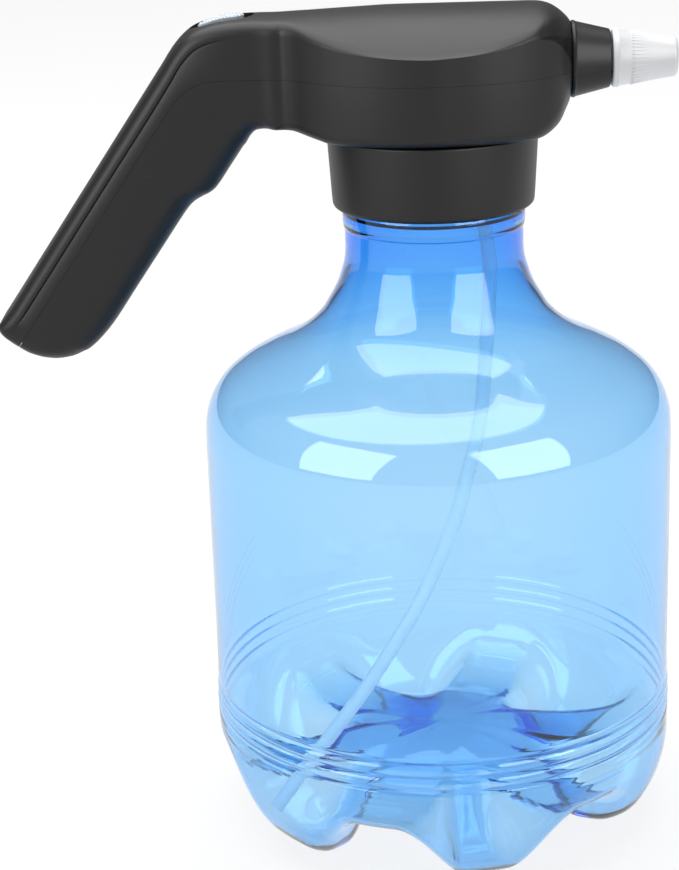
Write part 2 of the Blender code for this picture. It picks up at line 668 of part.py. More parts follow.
# ---------------------------------------------------------------- the nozzle
def build_nozzle():
    turned_on_x("outlet_sleeve", (
        (SLEEVE_TIP_R - 0.0008, SLEEVE_TIP_X), (SLEEVE_TIP_R, SLEEVE_TIP_X - 0.0009),
        (NOSE_R, POD_NOSE_X + GAP), (0.0087, POD_NOSE_X + GAP), (0.0087, 0.0398), (0.0108, 0.0398),
        (0.0108, 0.0376), (0.0062, 0.0376), (0.0062, SLEEVE_TIP_X),
    ), 32, CHARCOAL)
    stem = turned_on_x("outlet_stem", (
        (0.0041, 0.0700), (0.0041, 0.0660), (0.0044, 0.0657), (0.0044, 0.0412), (0.0059, 0.0412),
        (0.0059, 0.0380), (0.0044, 0.0380), (0.0044, 0.0352), (0.0024, 0.0350), (0.0026, 0.0330),
        (0.0023, 0.0316), (0.0025, 0.0303), (0.0020, 0.0295), (0.0012, 0.0295), (0.0012, 0.0700),
    ), 20, WHITE)
    ridge = helix_ridge("stem_thread", 0.0042, 0.0053, 0.0009, 0.0004, NOZZLE_PITCH, NOZZLE_TURNS, 0.0585, 12)
    ridge.rotation_euler = ALONG_X
    ridge.location = (0, 0, NOZZLE_Z)
    join(stem, ridge)
    turned_on_x("swirl_core", (
        (0, 0.0725), (0.0020, 0.0725), (0.0026, 0.0722), (0.0026, 0.0703), (0.0009, 0.0703),
        (0.0009, 0.0650), (0, 0.0650),
    ), 16, WHITE)
    cap = turned_on_x("nozzle_cap", (
        (0.0005, CAP_TIP_X), (CAP_TIP_R - 0.0014, CAP_TIP_X), (CAP_TIP_R - 0.0003, CAP_TIP_X - 0.0007),
        (CAP_TIP_R, CAP_TIP_X - 0.0018), (CAP_BACK_R, CAP_BACK_X + 0.0006), (CAP_BACK_R - 0.0005, CAP_BACK_X),
        (0.0057, CAP_BACK_X), (0.0057, 0.0661), (0.0059, 0.0661), (0.0059, 0.0677), (0.0046, 0.0677),
        (0.0046, 0.0706), (0.0030, 0.0708), (0.0030, 0.0731), (0.0005, 0.0737),
    ), 28, WHITE)
    cap_ridge = helix_ridge(
        "cap_thread", 0.0059, 0.0048, 0.0008, 0.0003, NOZZLE_PITCH, NOZZLE_TURNS,
        0.0585 + NOZZLE_PITCH / 2, 12,
    )
    cap_ridge.rotation_euler = ALONG_X
    cap_ridge.location = (0, 0, NOZZLE_Z)
    join(cap, cap_ridge)
    ring = [(0.0050 + 0.0006 * math.cos(a), 0.0669 + 0.0006 * math.sin(a))
            for a in [-2 * math.pi * i / 7 for i in range(7)]]
    turned_on_x("nozzle_o_ring", ring, 20, RUBBER)


# ---------------------------------------------------------------- the pump and its motor
def gear_mesh(name, bore):
    """A spur gear along X with tapered teeth, one of them pointing along +Y."""
    shape = bmesh.new()
    step = 2 * math.pi / GEAR_TEETH
    corners = []
    for tooth in range(GEAR_TEETH):
        for share, radius in ((-0.27, GEAR_ROOT_R), (-0.11, GEAR_TIP_R), (0.11, GEAR_TIP_R), (0.27, GEAR_ROOT_R)):
            angle = step * (tooth + share)
            corners.append((radius * math.cos(angle), radius * math.sin(angle)))
    rims = []
    for x in (GEAR_BACK_X, GEAR_FRONT_X):
        outer = [shape.verts.new((x, y, z)) for y, z in corners]
        inner = []
        for i in range(len(corners)):
            angle = step * (i // 4 + (-0.27, -0.11, 0.11, 0.27)[i % 4])
            inner.append(shape.verts.new((x, bore * math.cos(angle), bore * math.sin(angle))))
        rims.append((outer, inner))
    (outer_a, inner_a), (outer_b, inner_b) = rims
    for i in range(len(corners)):
        j = (i + 1) % len(corners)
        shape.faces.new((outer_a[i], outer_a[j], outer_b[j], outer_b[i]))
        shape.faces.new((inner_a[j], inner_a[i], inner_b[i], inner_b[j]))
        shape.faces.new((outer_a[j], outer_a[i], inner_a[i], inner_a[j]))
        shape.faces.new((outer_b[i], outer_b[j], inner_b[j], inner_b[i]))
    return closed_mesh(name, shape)


def build_pump():
    half_tooth = math.pi / GEAR_TEETH
    place("drive_gear", gear_mesh("drive_gear", GEAR_BORE_R), BRASS, (0, -GEAR_OFFSET_Y, GEAR_Z))
    place("idler_gear", gear_mesh("idler_gear", 0.0015), WHITE, (0, GEAR_OFFSET_Y, GEAR_Z),
          (math.pi + half_tooth, 0, 0))
    body = block("pump_body", (PUMP_BACK_X, -PUMP_HALF_WIDTH, GEAR_Z - PUMP_HALF_HEIGHT),
                 (PUMP_FRONT_X, PUMP_HALF_WIDTH, GEAR_Z + PUMP_HALF_HEIGHT), GREY, 0.0012)
    join(
        body,
        rod("inlet_barb", 0.0025, (INLET_X, 0, 0.2325), (INLET_X, 0, 0.2385), 20),
        rod("outlet_barb", 0.0025, (0.0190, 0, NOZZLE_Z), (0.0262, 0, NOZZLE_Z), 20),
    )
    cut(
        body,
        rod("drive_room", 0.0056, (0.0050, -GEAR_OFFSET_Y, GEAR_Z), (0.0164, -GEAR_OFFSET_Y, GEAR_Z), 24),
        rod("idler_room", 0.0056, (0.0050, GEAR_OFFSET_Y, GEAR_Z), (0.0164, GEAR_OFFSET_Y, GEAR_Z), 24),
        rod("pin_socket", 0.0013, (0.0100, GEAR_OFFSET_Y, GEAR_Z), (0.0190, GEAR_OFFSET_Y, GEAR_Z), 16),
        rod("inlet_bore", 0.0014, (INLET_X, 0, 0.2300), (INLET_X, 0, 0.2430), 16),
        rod("outlet_bore", 0.0014, (0.0140, 0, NOZZLE_Z), (0.0300, 0, NOZZLE_Z), 16),
        *[rod(f"pump_screw_hole_{i}", 0.0013, (0.0, y, GEAR_Z + z), (0.0300, y, GEAR_Z + z), 14)
          for i, (y, z) in enumerate(PUMP_SCREW_SPOTS)],
    )
    cover = block("pump_cover", (0.0060, -PUMP_HALF_WIDTH, GEAR_Z - PUMP_HALF_HEIGHT),
                  (PUMP_BACK_X - GAP, PUMP_HALF_WIDTH, GEAR_Z + PUMP_HALF_HEIGHT), GREY)
    cut(
        cover,
        rod("shaft_hole", 0.0016, (0.0, -GEAR_OFFSET_Y, GEAR_Z), (0.0200, -GEAR_OFFSET_Y, GEAR_Z), 16),
        rod("seal_seat", 0.0036, (0.0050, -GEAR_OFFSET_Y, GEAR_Z), (0.0072, -GEAR_OFFSET_Y, GEAR_Z), 20),
        *[rod(f"cover_hole_{i}", 0.0013, (0.0, y, GEAR_Z + z), (0.0300, y, GEAR_Z + z), 14)
          for i, (y, z) in enumerate(PUMP_SCREW_SPOTS)],
    )
    turned_on_x("shaft_seal", ((0.0033, 0.0069), (0.0033, 0.0061), (0.0013, 0.0061), (0.0013, 0.0069)), 20,
                RUBBER, -GEAR_OFFSET_Y, GEAR_Z)
    rod("idler_pin", 0.0010, (0.0090, GEAR_OFFSET_Y, GEAR_Z), (0.0187, GEAR_OFFSET_Y, GEAR_Z), 16, STEEL)
    for i, (y, z) in enumerate(PUMP_SCREW_SPOTS):
        turned_on_x(f"pump_screw_{i + 1}", (
            (0, 0.0229), (0.0021, 0.0226), (0.0021, 0.0213), (0.0010, 0.0213), (0.0010, 0.0070), (0, 0.0062),
        ), 14, STEEL, y, GEAR_Z + z)
    turned_on_x("outlet_hose", ((0.0038, 0.0348), (0.0038, 0.0214), (0.0028, 0.0214), (0.0028, 0.0348)), 20,
                SILICONE)


def build_motor():
    turned_on_x("motor_can", (
        (0.0030, MOTOR_FRONT_X), (0.0096, MOTOR_FRONT_X), (MOTOR_R, MOTOR_FRONT_X - 0.0009),
        (MOTOR_R, MOTOR_BACK_X), (MOTOR_R - 0.0008, MOTOR_BACK_X), (MOTOR_R - 0.0008, MOTOR_FRONT_X - 0.0012),
        (0.0030, MOTOR_FRONT_X - 0.0012),
    ), 24, STEEL, -GEAR_OFFSET_Y, GEAR_Z)
    turned_on_x("motor_bush", (
        (0.0027, MOTOR_FRONT_X), (0.0027, 0.0035), (0.0013, 0.0035), (0.0013, MOTOR_FRONT_X),
    ), 18, BRASS, -GEAR_OFFSET_Y, GEAR_Z)
    turned_on_x("motor_end_cap", (
        (MOTOR_R - 0.0011, MOTOR_BACK_X + 0.0020), (MOTOR_R - 0.0011, MOTOR_BACK_X - GAP),
        (MOTOR_R, MOTOR_BACK_X - GAP), (MOTOR_R - 0.0006, -0.0240), (0.0013, -0.0240),
        (0.0013, MOTOR_BACK_X + 0.0020),
    ), 24, WHITE, -GEAR_OFFSET_Y, GEAR_Z)
    turned_on_x("armature", (
        (0.0062, 0.0015), (0.0062, -0.0120), (0.0030, -0.0125), (0.0030, -0.0175), (0.0013, -0.0175), (0.0013, 0.0015),
    ), 20, STEEL, -GEAR_OFFSET_Y, GEAR_Z)
    rod("motor_shaft", SHAFT_R, (-0.0235, -GEAR_OFFSET_Y, GEAR_Z), (0.0160, -GEAR_OFFSET_Y, GEAR_Z), 16, STEEL)


# ---------------------------------------------------------------- the button, boards and battery
def build_button():
    shape = oval_prism("button_blank", BUTTON_LENGTH, BUTTON_WIDTH, -0.0050, 0.0040)
    crown_x = BUTTON_X - BUTTON_CROWN_R * math.sin(WELL_TILT)
    crown_z = BUTTON_TOP_Z - BUTTON_CROWN_R * math.cos(WELL_TILT)
    crown = rod("button_crown", BUTTON_CROWN_R, (crown_x, -0.02, crown_z), (crown_x, 0.02, crown_z), 96)
    button = place("thumb_button", shape.data.copy(), WHITE, shape.location)
    bpy.data.objects.remove(shape, do_unlink=True)
    boolean(button, crown, "INTERSECT")
    settle(button)
    ridges = []
    for i in range(BUTTON_RIDGES):
        x = BUTTON_X + 0.0110 * (i / (BUTTON_RIDGES - 1) - 0.5)
        z = crown_z + math.sqrt(BUTTON_CROWN_R**2 - (x - crown_x) ** 2)
        ridges.append(rod(f"ridge_{i}", 0.0003, (x, -0.0033, z), (x, 0.0033, z), 6))
    flange = oval_prism("flange", BUTTON_LENGTH + 0.0028, BUTTON_WIDTH + 0.0026, -0.0052, -0.0042)
    join(button, flange, *ridges)
    stem_top = 0.2645 - 0.0052
    rod("switch_plunger", 0.0016, (BUTTON_X, 0, BOARD_TOP_Z + 0.0016), (BUTTON_X, 0, stem_top - GAP), 16, GREY)
    switch = block("switch_body", (BUTTON_X - 0.0030, -0.0030, BOARD_TOP_Z + GAP),
                   (BUTTON_X + 0.0030, 0.0030, BOARD_TOP_Z + 0.0030), GREY)
    bore_low, bore_high = (BUTTON_X, 0, BOARD_TOP_Z + 0.0006), (BUTTON_X, 0, BOARD_TOP_Z + 0.0060)
    cut(switch, rod("plunger_bore", 0.0019, bore_low, bore_high, 16))
    block("switch_board", (-0.0735, -0.0090, BOARD_TOP_Z - 0.0016), (-0.0535, 0.0090, BOARD_TOP_Z), BOARD_GREEN)
    spring_low, spring_high, turns, steps = BOARD_TOP_Z + 0.0006, stem_top - 0.0006, 3.5, 12
    route = []
    for i in range(int(turns * steps) + 1):
        angle = 2 * math.pi * i / steps
        height = spring_low + (spring_high - spring_low) * i / (turns * steps)
        route.append(Vector((BUTTON_X + 0.0052 * math.cos(angle), 0.0052 * math.sin(angle), height)))
    tube("button_spring", route, 0.00028, STEEL, 1)


def build_battery():
    end = CELL_START + CELL_LENGTH
    rod("battery_cell", CELL_R, in_handle(CELL_START, CELL_DEPTH), in_handle(end, CELL_DEPTH), 32, CELL_BLUE)
    handle_block("cell_tab_top", (CELL_START - 0.0008, CELL_DEPTH - 0.0060, -0.0055),
                 (CELL_START - GAP, CELL_DEPTH + 0.0060, 0.0055), STEEL)
    handle_block("cell_tab_bottom", (end + GAP, CELL_DEPTH - 0.0070, -0.0035),
                 (end + 0.0008, CELL_DEPTH + 0.0060, 0.0035), STEEL)
    handle_block("charge_board", (0.1045, CELL_DEPTH - 0.0080, -0.0080),
                 (0.1057, CELL_DEPTH + 0.0060, 0.0080), BOARD_GREEN)
    socket = handle_block("charge_socket", (0.1060, PORT_DEPTH - 0.0016, -0.0045),
                          (0.1112, PORT_DEPTH + 0.0016, 0.0045), STEEL)
    cut(socket, handle_block("socket_slot", (0.1072, PORT_DEPTH - 0.0013, -0.0042),
                             (0.1150, PORT_DEPTH + 0.0013, 0.0042)))
    plug = handle_block("charge_plug", (0.1115, PORT_DEPTH - 0.0030, -0.0060),
                        (0.1134, PORT_DEPTH + 0.0030, 0.0060), RUBBER)
    join(plug, handle_block("plug_tongue", (0.1085, PORT_DEPTH - 0.0009, -0.0038),
                            (0.1120, PORT_DEPTH + 0.0009, 0.0038)))


def build_wires():
    """Soldered leads that stay inside the shells, each made whole along its own way."""
    low, high = BOARD_TOP_Z - 0.0022, BOARD_TOP_Z - 0.0030
    from_cell = [in_handle(0.0364, 0.0100, 0.0047), in_handle(0.0300, 0.0080, 0.0052)]
    from_cell += [in_handle(0.0230, 0.0070, 0.0040), (-0.0735, 0.0020, high - 0.001)]
    tube("wire_cell_plus", smooth_route([*from_cell, (-0.0715, 0.0020, low)], 3),
         0.0005, RED, 1)
    side = [in_handle(0.1038, 0.0070, 0.0070), in_handle(0.1000, 0.0058, 0.0090)]
    side += [in_handle(d, 0.0056, 0.0092) for d in (0.085, 0.065, 0.045)]
    tube("wire_cell_minus", smooth_route(
        [*side, in_handle(0.025, 0.0060, 0.0080), (-0.0735, 0.0070, high - 0.001), (-0.0715, 0.0070, low)], 2
    ), 0.0005, BLACK_WIRE, 1)
    other = [in_handle(0.1038, 0.0090, -0.0074), in_handle(0.1000, 0.0065, -0.0092)]
    other += [in_handle(d, 0.0056, -0.0092) for d in (0.085, 0.065, 0.045)]
    tube("wire_charge", smooth_route(
        [*other, in_handle(0.025, 0.0060, -0.0080), (-0.0735, -0.0070, high - 0.001), (-0.0715, -0.0070, low)], 2
    ), 0.0005, RED, 1)
    for name, side_y, paint in (("wire_motor_plus", 0.0075, RED), ("wire_motor_minus", -0.0085, BLACK_WIRE)):
        motor_y = -GEAR_OFFSET_Y + (0.0045 if side_y > 0 else -0.0045)
        tube(name, smooth_route([
            (-0.0580, side_y * 0.6, low), (-0.0560, side_y * 0.8, high - 0.001), (-0.0500, side_y, 0.2495),
            (-0.0420, side_y, 0.2490), (-0.0340, side_y * 0.9, 0.2480), (-0.0280, motor_y, 0.2462),
            (-0.0243, motor_y, GEAR_Z),
        ], 3), 0.0005, paint, 1)


build_bottle()
build_collar()
build_neck_parts()
build_housings()
build_nozzle()
build_pump()
build_motor()
build_button()
build_battery()
build_wires()
tube("dip_tube", smooth_route(DIP_TUBE_ROUTE, 2), DIP_TUBE_R, MILKY)
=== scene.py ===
# %% [markdown]
# # A battery spray bottle
# The object is a clear blue bottle that stands on six feet, a black screw collar, and a black head
# with a slanting handle, a thumb button and a white nozzle. The CAD model gives every place and
# size. This script makes the surfaces that are seen and their finishes, and lets each piece ride
# on the CAD body that moves it.

import math

import bmesh
import bpy
import numpy as np
from mathutils import Matrix, Vector


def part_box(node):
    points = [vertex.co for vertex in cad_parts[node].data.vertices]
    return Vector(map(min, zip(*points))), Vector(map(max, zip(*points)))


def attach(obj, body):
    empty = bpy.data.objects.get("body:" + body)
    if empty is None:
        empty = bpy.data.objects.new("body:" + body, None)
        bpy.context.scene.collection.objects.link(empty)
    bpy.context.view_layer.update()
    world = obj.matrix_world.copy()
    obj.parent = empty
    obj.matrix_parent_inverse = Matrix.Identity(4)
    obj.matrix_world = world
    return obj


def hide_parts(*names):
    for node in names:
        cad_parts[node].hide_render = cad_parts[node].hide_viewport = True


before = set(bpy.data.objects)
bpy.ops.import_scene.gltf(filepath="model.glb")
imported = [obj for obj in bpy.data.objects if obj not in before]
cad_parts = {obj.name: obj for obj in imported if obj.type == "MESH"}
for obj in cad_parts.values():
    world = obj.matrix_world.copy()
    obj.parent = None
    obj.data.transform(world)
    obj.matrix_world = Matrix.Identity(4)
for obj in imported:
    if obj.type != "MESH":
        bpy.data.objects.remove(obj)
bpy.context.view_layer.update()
collar_low, collar_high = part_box("screw_collar")
bottle_low, bottle_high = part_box("bottle")
AXIS_X = (collar_low.x + collar_high.x) / 2
RIM_Z = bottle_high.z
print("bottle axis at x =", round(AXIS_X, 4), "rim at z =", round(RIM_Z, 4))


def from_axis(x, y, z):
    """A point given from the bottle's axis, in the frame's own coordinates."""
    return Vector((AXIS_X + x, y, z))


# %% [markdown]
# ## The camera
# The object is looked at from the front and a little above, from two thirds of a metre away, as a
# person at the same table sees it. A long lens keeps the bottle's walls upright. The camera comes
# first, because the cord's rules are measured against what it sees.

# %% Camera
CAMERA_DISTANCE = 0.6575
CAMERA_HEIGHT = 0.3537
CAMERA_PITCH = 0.32891
CAMERA_YAW = -0.048459
CAMERA_ROLL = -0.033011
CAMERA_LENS = 88.4

camera_data = bpy.data.cameras.new("camera")
camera_data.lens = CAMERA_LENS
camera_data.sensor_width = 36.0
camera_data.clip_end = 20.0
camera = bpy.data.objects.new("camera", camera_data)
bpy.context.scene.collection.objects.link(camera)
ahead = Vector((
    math.sin(CAMERA_YAW) * math.cos(CAMERA_PITCH),
    math.cos(CAMERA_YAW) * math.cos(CAMERA_PITCH),
    -math.sin(CAMERA_PITCH),
))
level_right = Vector((math.cos(CAMERA_YAW), -math.sin(CAMERA_YAW), 0))
level_up = level_right.cross(ahead)
right = level_right * math.cos(CAMERA_ROLL) + level_up * math.sin(CAMERA_ROLL)
up = right.cross(ahead)
turn = Matrix((right, up, -ahead)).transposed().to_4x4()
camera.matrix_world = Matrix.Translation(from_axis(0, -CAMERA_DISTANCE, CAMERA_HEIGHT)) @ turn
bpy.context.scene.camera = camera
bpy.context.scene.view_settings.view_transform = "Standard"
print("camera at", tuple(round(v, 3) for v in camera.location))

# %% [markdown]
# ## Helpers for nodes
# Materials and Geometry Nodes are both trees of nodes, so two short helpers serve both: one adds a
# node and sets its fields, and one joins an output to an input.


# %% Node helpers
def add(tree, kind, label=None, **fields):
    node = tree.nodes.new(kind)
    for name, value in fields.items():
        setattr(node, name, value)
    if label:
        node.label = label
    return node


def join(tree, source, target):
    tree.links.new(source, target)
    return target


def new_group(name, inputs, outputs, kind="ShaderNodeTree"):
    """A node group with named sockets: (name, socket type, default) in, (name, socket type) out."""
    tree = bpy.data.node_groups.new(name, kind)
    for socket_name, socket_type, default in inputs:
        socket = tree.interface.new_socket(name=socket_name, in_out="INPUT", socket_type=socket_type)
        if default is not None:
            socket.default_value = default
    for socket_name, socket_type in outputs:
        tree.interface.new_socket(name=socket_name, in_out="OUTPUT", socket_type=socket_type)
    return tree, add(tree, "NodeGroupInput"), add(tree, "NodeGroupOutput")


def mapped(tree, source, low, high, new_low, new_high):
    """Maps a value from one range to another."""
    node = add(tree, "ShaderNodeMapRange")
    for socket, value in zip(node.inputs[1:5], (low, high, new_low, new_high)):
        socket.default_value = value
    join(tree, source, node.inputs[0])
    return node.outputs[0]


# %% [markdown]
# ## Shared surface effects
# A moulded surface is never one flat value. The steel mould has a fine spark-eroded grain, the
# gloss drifts slowly over a wall, and handling leaves short pale scuffs. One node group makes the
# grain and the drift, and a second makes the scuffs, so each material only sets how strong they are.

# %% Moulded grain group
GRAIN, grain_in, grain_out = new_group(
    "moulded grain",
    [("Grain Scale", "NodeSocketFloat", 2600.0), ("Drift Scale", "NodeSocketFloat", 18.0)],
    [("Height", "NodeSocketFloat"), ("Drift", "NodeSocketFloat")],
)
grain_place = add(GRAIN, "ShaderNodeTexCoord")
fine = add(GRAIN, "ShaderNodeTexNoise", "mould grain", noise_dimensions="3D")
fine.inputs["Detail"].default_value = 3.0
join(GRAIN, grain_place.outputs["Object"], fine.inputs["Vector"])
join(GRAIN, grain_in.outputs["Grain Scale"], fine.inputs["Scale"])
slow = add(GRAIN, "ShaderNodeTexNoise", "slow drift", noise_dimensions="3D")
slow.inputs["Detail"].default_value = 2.0
join(GRAIN, grain_place.outputs["Object"], slow.inputs["Vector"])
join(GRAIN, grain_in.outputs["Drift Scale"], slow.inputs["Scale"])
join(GRAIN, fine.outputs["Fac"], grain_out.inputs["Height"])
join(GRAIN, slow.outputs["Fac"], grain_out.inputs["Drift"])

# %% [markdown]
# Scuffs are short, pale and rare. A noise squeezed along one axis gives strokes rather than
# spots, and only its highest values are kept, so most of the surface stays clean.

# %% Scuff group
SCUFF, scuff_in, scuff_out = new_group(
    "fine scuffs",
    [("Scale", "NodeSocketFloat", 60.0), ("Amount", "NodeSocketFloat", 0.5)],
    [("Mask", "NodeSocketFloat")],
)
scuff_place = add(SCUFF, "ShaderNodeTexCoord")
stretch = add(SCUFF, "ShaderNodeMapping")
stretch.inputs["Scale"].default_value = (1.0, 1.0, 6.0)
stretch.inputs["Rotation"].default_value = (0.4, 0.7, 0.2)
join(SCUFF, scuff_place.outputs["Object"], stretch.inputs["Vector"])
scratch = add(SCUFF, "ShaderNodeTexNoise", "scratches", noise_dimensions="3D")
scratch.inputs["Detail"].default_value = 5.0
scratch.inputs["Roughness"].default_value = 0.65
join(SCUFF, stretch.outputs["Vector"], scratch.inputs["Vector"])
join(SCUFF, scuff_in.outputs["Scale"], scratch.inputs["Scale"])
rare = mapped(SCUFF, scratch.outputs["Fac"], 0.66, 0.78, 0.0, 1.0)
weaker = add(SCUFF, "ShaderNodeMath", operation="MULTIPLY")
join(SCUFF, rare, weaker.inputs[0])
join(SCUFF, scuff_in.outputs["Amount"], weaker.inputs[1])
join(SCUFF, weaker.outputs[0], scuff_out.inputs["Mask"])


# %% [markdown]
# ## Materials
# Every finish starts from one recipe: a colour that drifts a little, a roughness that drifts with
# it, scuffs that are paler, and the grain as a bump. Only the numbers differ between
# the satin black shells, the white nozzle and the metal inside.


# %% Moulded material recipe
def moulded(name, colour, roughness, drift=0.03, pale=None, grain=0.04, grain_scale=2600.0, scuffs=0.5,
            metallic=0.0, specular=0.5):
    made = bpy.data.materials.new(name)
    made.use_nodes = True
    tree = made.node_tree
    shader = tree.nodes["Principled BSDF"]
    shader.inputs["Metallic"].default_value = metallic
    shader.inputs["Specular IOR Level"].default_value = specular
    surface = add(tree, "ShaderNodeGroup", node_tree=GRAIN)
    surface.inputs["Grain Scale"].default_value = grain_scale
    marks = add(tree, "ShaderNodeGroup", node_tree=SCUFF)
    marks.inputs["Amount"].default_value = scuffs
    tone = add(tree, "ShaderNodeMix", data_type="RGBA")
    darker = tuple(c * (1 - 4 * drift) for c in colour)
    lighter = tuple(min(1.0, c * (1 + 4 * drift)) for c in colour)
    tone.inputs[6].default_value = (*darker, 1)
    tone.inputs[7].default_value = (*lighter, 1)
    join(tree, surface.outputs["Drift"], tone.inputs[0])
    worn = add(tree, "ShaderNodeMix", data_type="RGBA")
    worn.inputs[7].default_value = (*(pale or tuple(min(1.0, c * 1.5 + 0.02) for c in colour)), 1)
    join(tree, marks.outputs["Mask"], worn.inputs[0])
    join(tree, tone.outputs[2], worn.inputs[6])
    join(tree, worn.outputs[2], shader.inputs["Base Color"])
    gloss = mapped(tree, surface.outputs["Drift"], 0.3, 0.7, roughness - drift, roughness + drift)
    join(tree, gloss, shader.inputs["Roughness"])
    bump = add(tree, "ShaderNodeBump")
    bump.inputs["Strength"].default_value = grain
    bump.inputs["Distance"].default_value = 0.0002
    join(tree, surface.outputs["Height"], bump.inputs["Height"])
    join(tree, bump.outputs["Normal"], shader.inputs["Normal"])
    return made


CHARCOAL = moulded(
    "satin charcoal plastic", (0.0095, 0.0092, 0.0100), 0.42, grain=0.10, scuffs=0.35, specular=0.35
)
COLLAR_BLACK = moulded(
    "satin collar plastic", (0.0100, 0.0097, 0.0106), 0.44, grain=0.10, scuffs=0.25, specular=0.35
)
NOZZLE_WHITE = moulded(
    "white nozzle plastic", (0.82, 0.83, 0.84), 0.34, drift=0.01, grain=0.03, scuffs=0.15
)
BUTTON_WHITE = moulded(
    "milky button plastic", (0.74, 0.80, 0.86), 0.30, drift=0.01, grain=0.02, scuffs=0.15
)
FITTING_WHITE = moulded("white fitting plastic", (0.76, 0.77, 0.78), 0.42, drift=0.01)
PUMP_GREY = moulded("grey pump plastic", (0.26, 0.27, 0.29), 0.46)
SILICONE = moulded("soft silicone", (0.70, 0.73, 0.74), 0.38, drift=0.02, scuffs=0.1)
RUBBER = moulded("black rubber", (0.016, 0.016, 0.017), 0.68, grain=0.2, grain_scale=1500.0)
STEEL = moulded("zinc-plated steel", (0.58, 0.59, 0.61), 0.30, drift=0.04, metallic=1.0)
BRASS = moulded("turned brass", (0.72, 0.54, 0.24), 0.28, drift=0.04, metallic=1.0)
BOARD = moulded("green circuit board", (0.02, 0.16, 0.07), 0.36, pale=(0.55, 0.45, 0.18))
CELL_WRAP = moulded("blue cell wrap", (0.04, 0.13, 0.42), 0.28, grain=0.02)
RED_WIRE = moulded("red wire", (0.52, 0.02, 0.015), 0.40)
BLACK_WIRE = moulded("black wire", (0.018, 0.018, 0.019), 0.40)
print("moulded materials:", len(bpy.data.materials))

# %% [markdown]
# ## Clear plastic
# The bottle is blown from clear blue plastic, so its colour comes from the thickness that light
# has crossed: the thick neck and base are deep blue, and the thin wall between them is pale. That
# is what a Volume Absorption does, so the surface itself stays clear and glossy, with a slow
# ripple that blown walls have.


# %% Clear plastic recipe
def clear_plastic(name, absorbed, density, roughness, ripple, ior=1.5):
    made = bpy.data.materials.new(name)
    made.use_nodes = True
    tree = made.node_tree
    shader = tree.nodes["Principled BSDF"]
    shader.inputs["Base Color"].default_value = (1, 1, 1, 1)
    shader.inputs["Transmission Weight"].default_value = 1.0
    shader.inputs["IOR"].default_value = ior
    surface = add(tree, "ShaderNodeGroup", node_tree=GRAIN)
    surface.inputs["Grain Scale"].default_value = 38.0
    surface.inputs["Drift Scale"].default_value = 14.0
    gloss = mapped(tree, surface.outputs["Drift"], 0.3, 0.7, roughness * 0.6, roughness * 1.4)
    join(tree, gloss, shader.inputs["Roughness"])
    bump = add(tree, "ShaderNodeBump")
    bump.inputs["Strength"].default_value = ripple
    bump.inputs["Distance"].default_value = 0.0006
    join(tree, surface.outputs["Height"], bump.inputs["Height"])
    join(tree, bump.outputs["Normal"], shader.inputs["Normal"])
    depth = add(tree, "ShaderNodeVolumeAbsorption")
    depth.inputs["Color"].default_value = (*absorbed, 1)
    depth.inputs["Density"].default_value = density
    join(tree, depth.outputs["Volume"], tree.nodes["Material Output"].inputs["Volume"])
    return made


BLUE_CLEAR = clear_plastic("clear blue bottle plastic", (0.05, 0.64, 0.984), 540.0, 0.025, 0.05)
MILKY_TUBE_PAINTED_GLOW = moulded("milky tube with painted glow", (0.90, 0.95, 1.0), 0.35, drift=0.01, scuffs=0.0, grain=0.02)
MILKY_TUBE_PAINTED_GLOW.node_tree.nodes["Principled BSDF"].inputs["Transmission Weight"].default_value = 0.5
# The tube's emission is a painted glow: a faint pale blue light of its own, so the tube looks lit through and
# paler than its milky colour and transmission make it.
MILKY_TUBE_PAINTED_GLOW.node_tree.nodes["Principled BSDF"].inputs["Emission Color"].default_value = (0.72, 0.86, 1.0, 1)
MILKY_TUBE_PAINTED_GLOW.node_tree.nodes["Principled BSDF"].inputs["Emission Strength"].default_value = 0.10
MILKY_TUBE_PAINTED_GLOW.node_tree.nodes["Principled BSDF"].inputs["IOR"].default_value = 1.2
print("clear materials made")

# %% [markdown]
# ## Helpers for meshes
# Most pieces are turned, lofted or instanced. A finished piece stands at the origin with its place
# in its mesh, is smooth except at its real edges, and rides on a body.


# %% Mesh helpers
def placed(name, data):
    """A new object that holds the data, linked to the scene."""
    made = bpy.data.objects.new(name, data)
    bpy.context.scene.collection.objects.link(made)
    return made


def painted_only(mesh, paint):
    """Leaves the mesh with one material."""
    mesh.materials.clear()
    mesh.materials.append(paint)


def smoothed(mesh, sharp_angle):
    """Smooth faces, with an edge kept where the surface turns by more than the angle in degrees."""
    mesh.shade_smooth()
    mesh.set_sharp_from_angle(angle=math.radians(sharp_angle))


def closed_object(name, shape, paint, smooth_angle=35):
    """A bmesh made an object, its normals out and its sharp edges kept."""
    bmesh.ops.recalc_face_normals(shape, faces=shape.faces)
    mesh = bpy.data.meshes.new(name)
    shape.to_mesh(mesh)
    shape.free()
    mesh.materials.append(paint)
    smoothed(mesh, smooth_angle)
    return placed(name, mesh)


def lofted(name, rings, paint, smooth_angle=35):
    """Skins rings of equally many points and closes both ends."""
    shape = bmesh.new()
    rows = [[shape.verts.new(point) for point in ring] for ring in rings]
    count = len(rings[0])
    for near, far in zip(rows, rows[1:]):
        for i in range(count):
            shape.faces.new((near[i], near[(i + 1) % count], far[(i + 1) % count], far[i]))
    shape.faces.new(rows[0])
    shape.faces.new(rows[-1])
    return closed_object(name, shape, paint, smooth_angle)


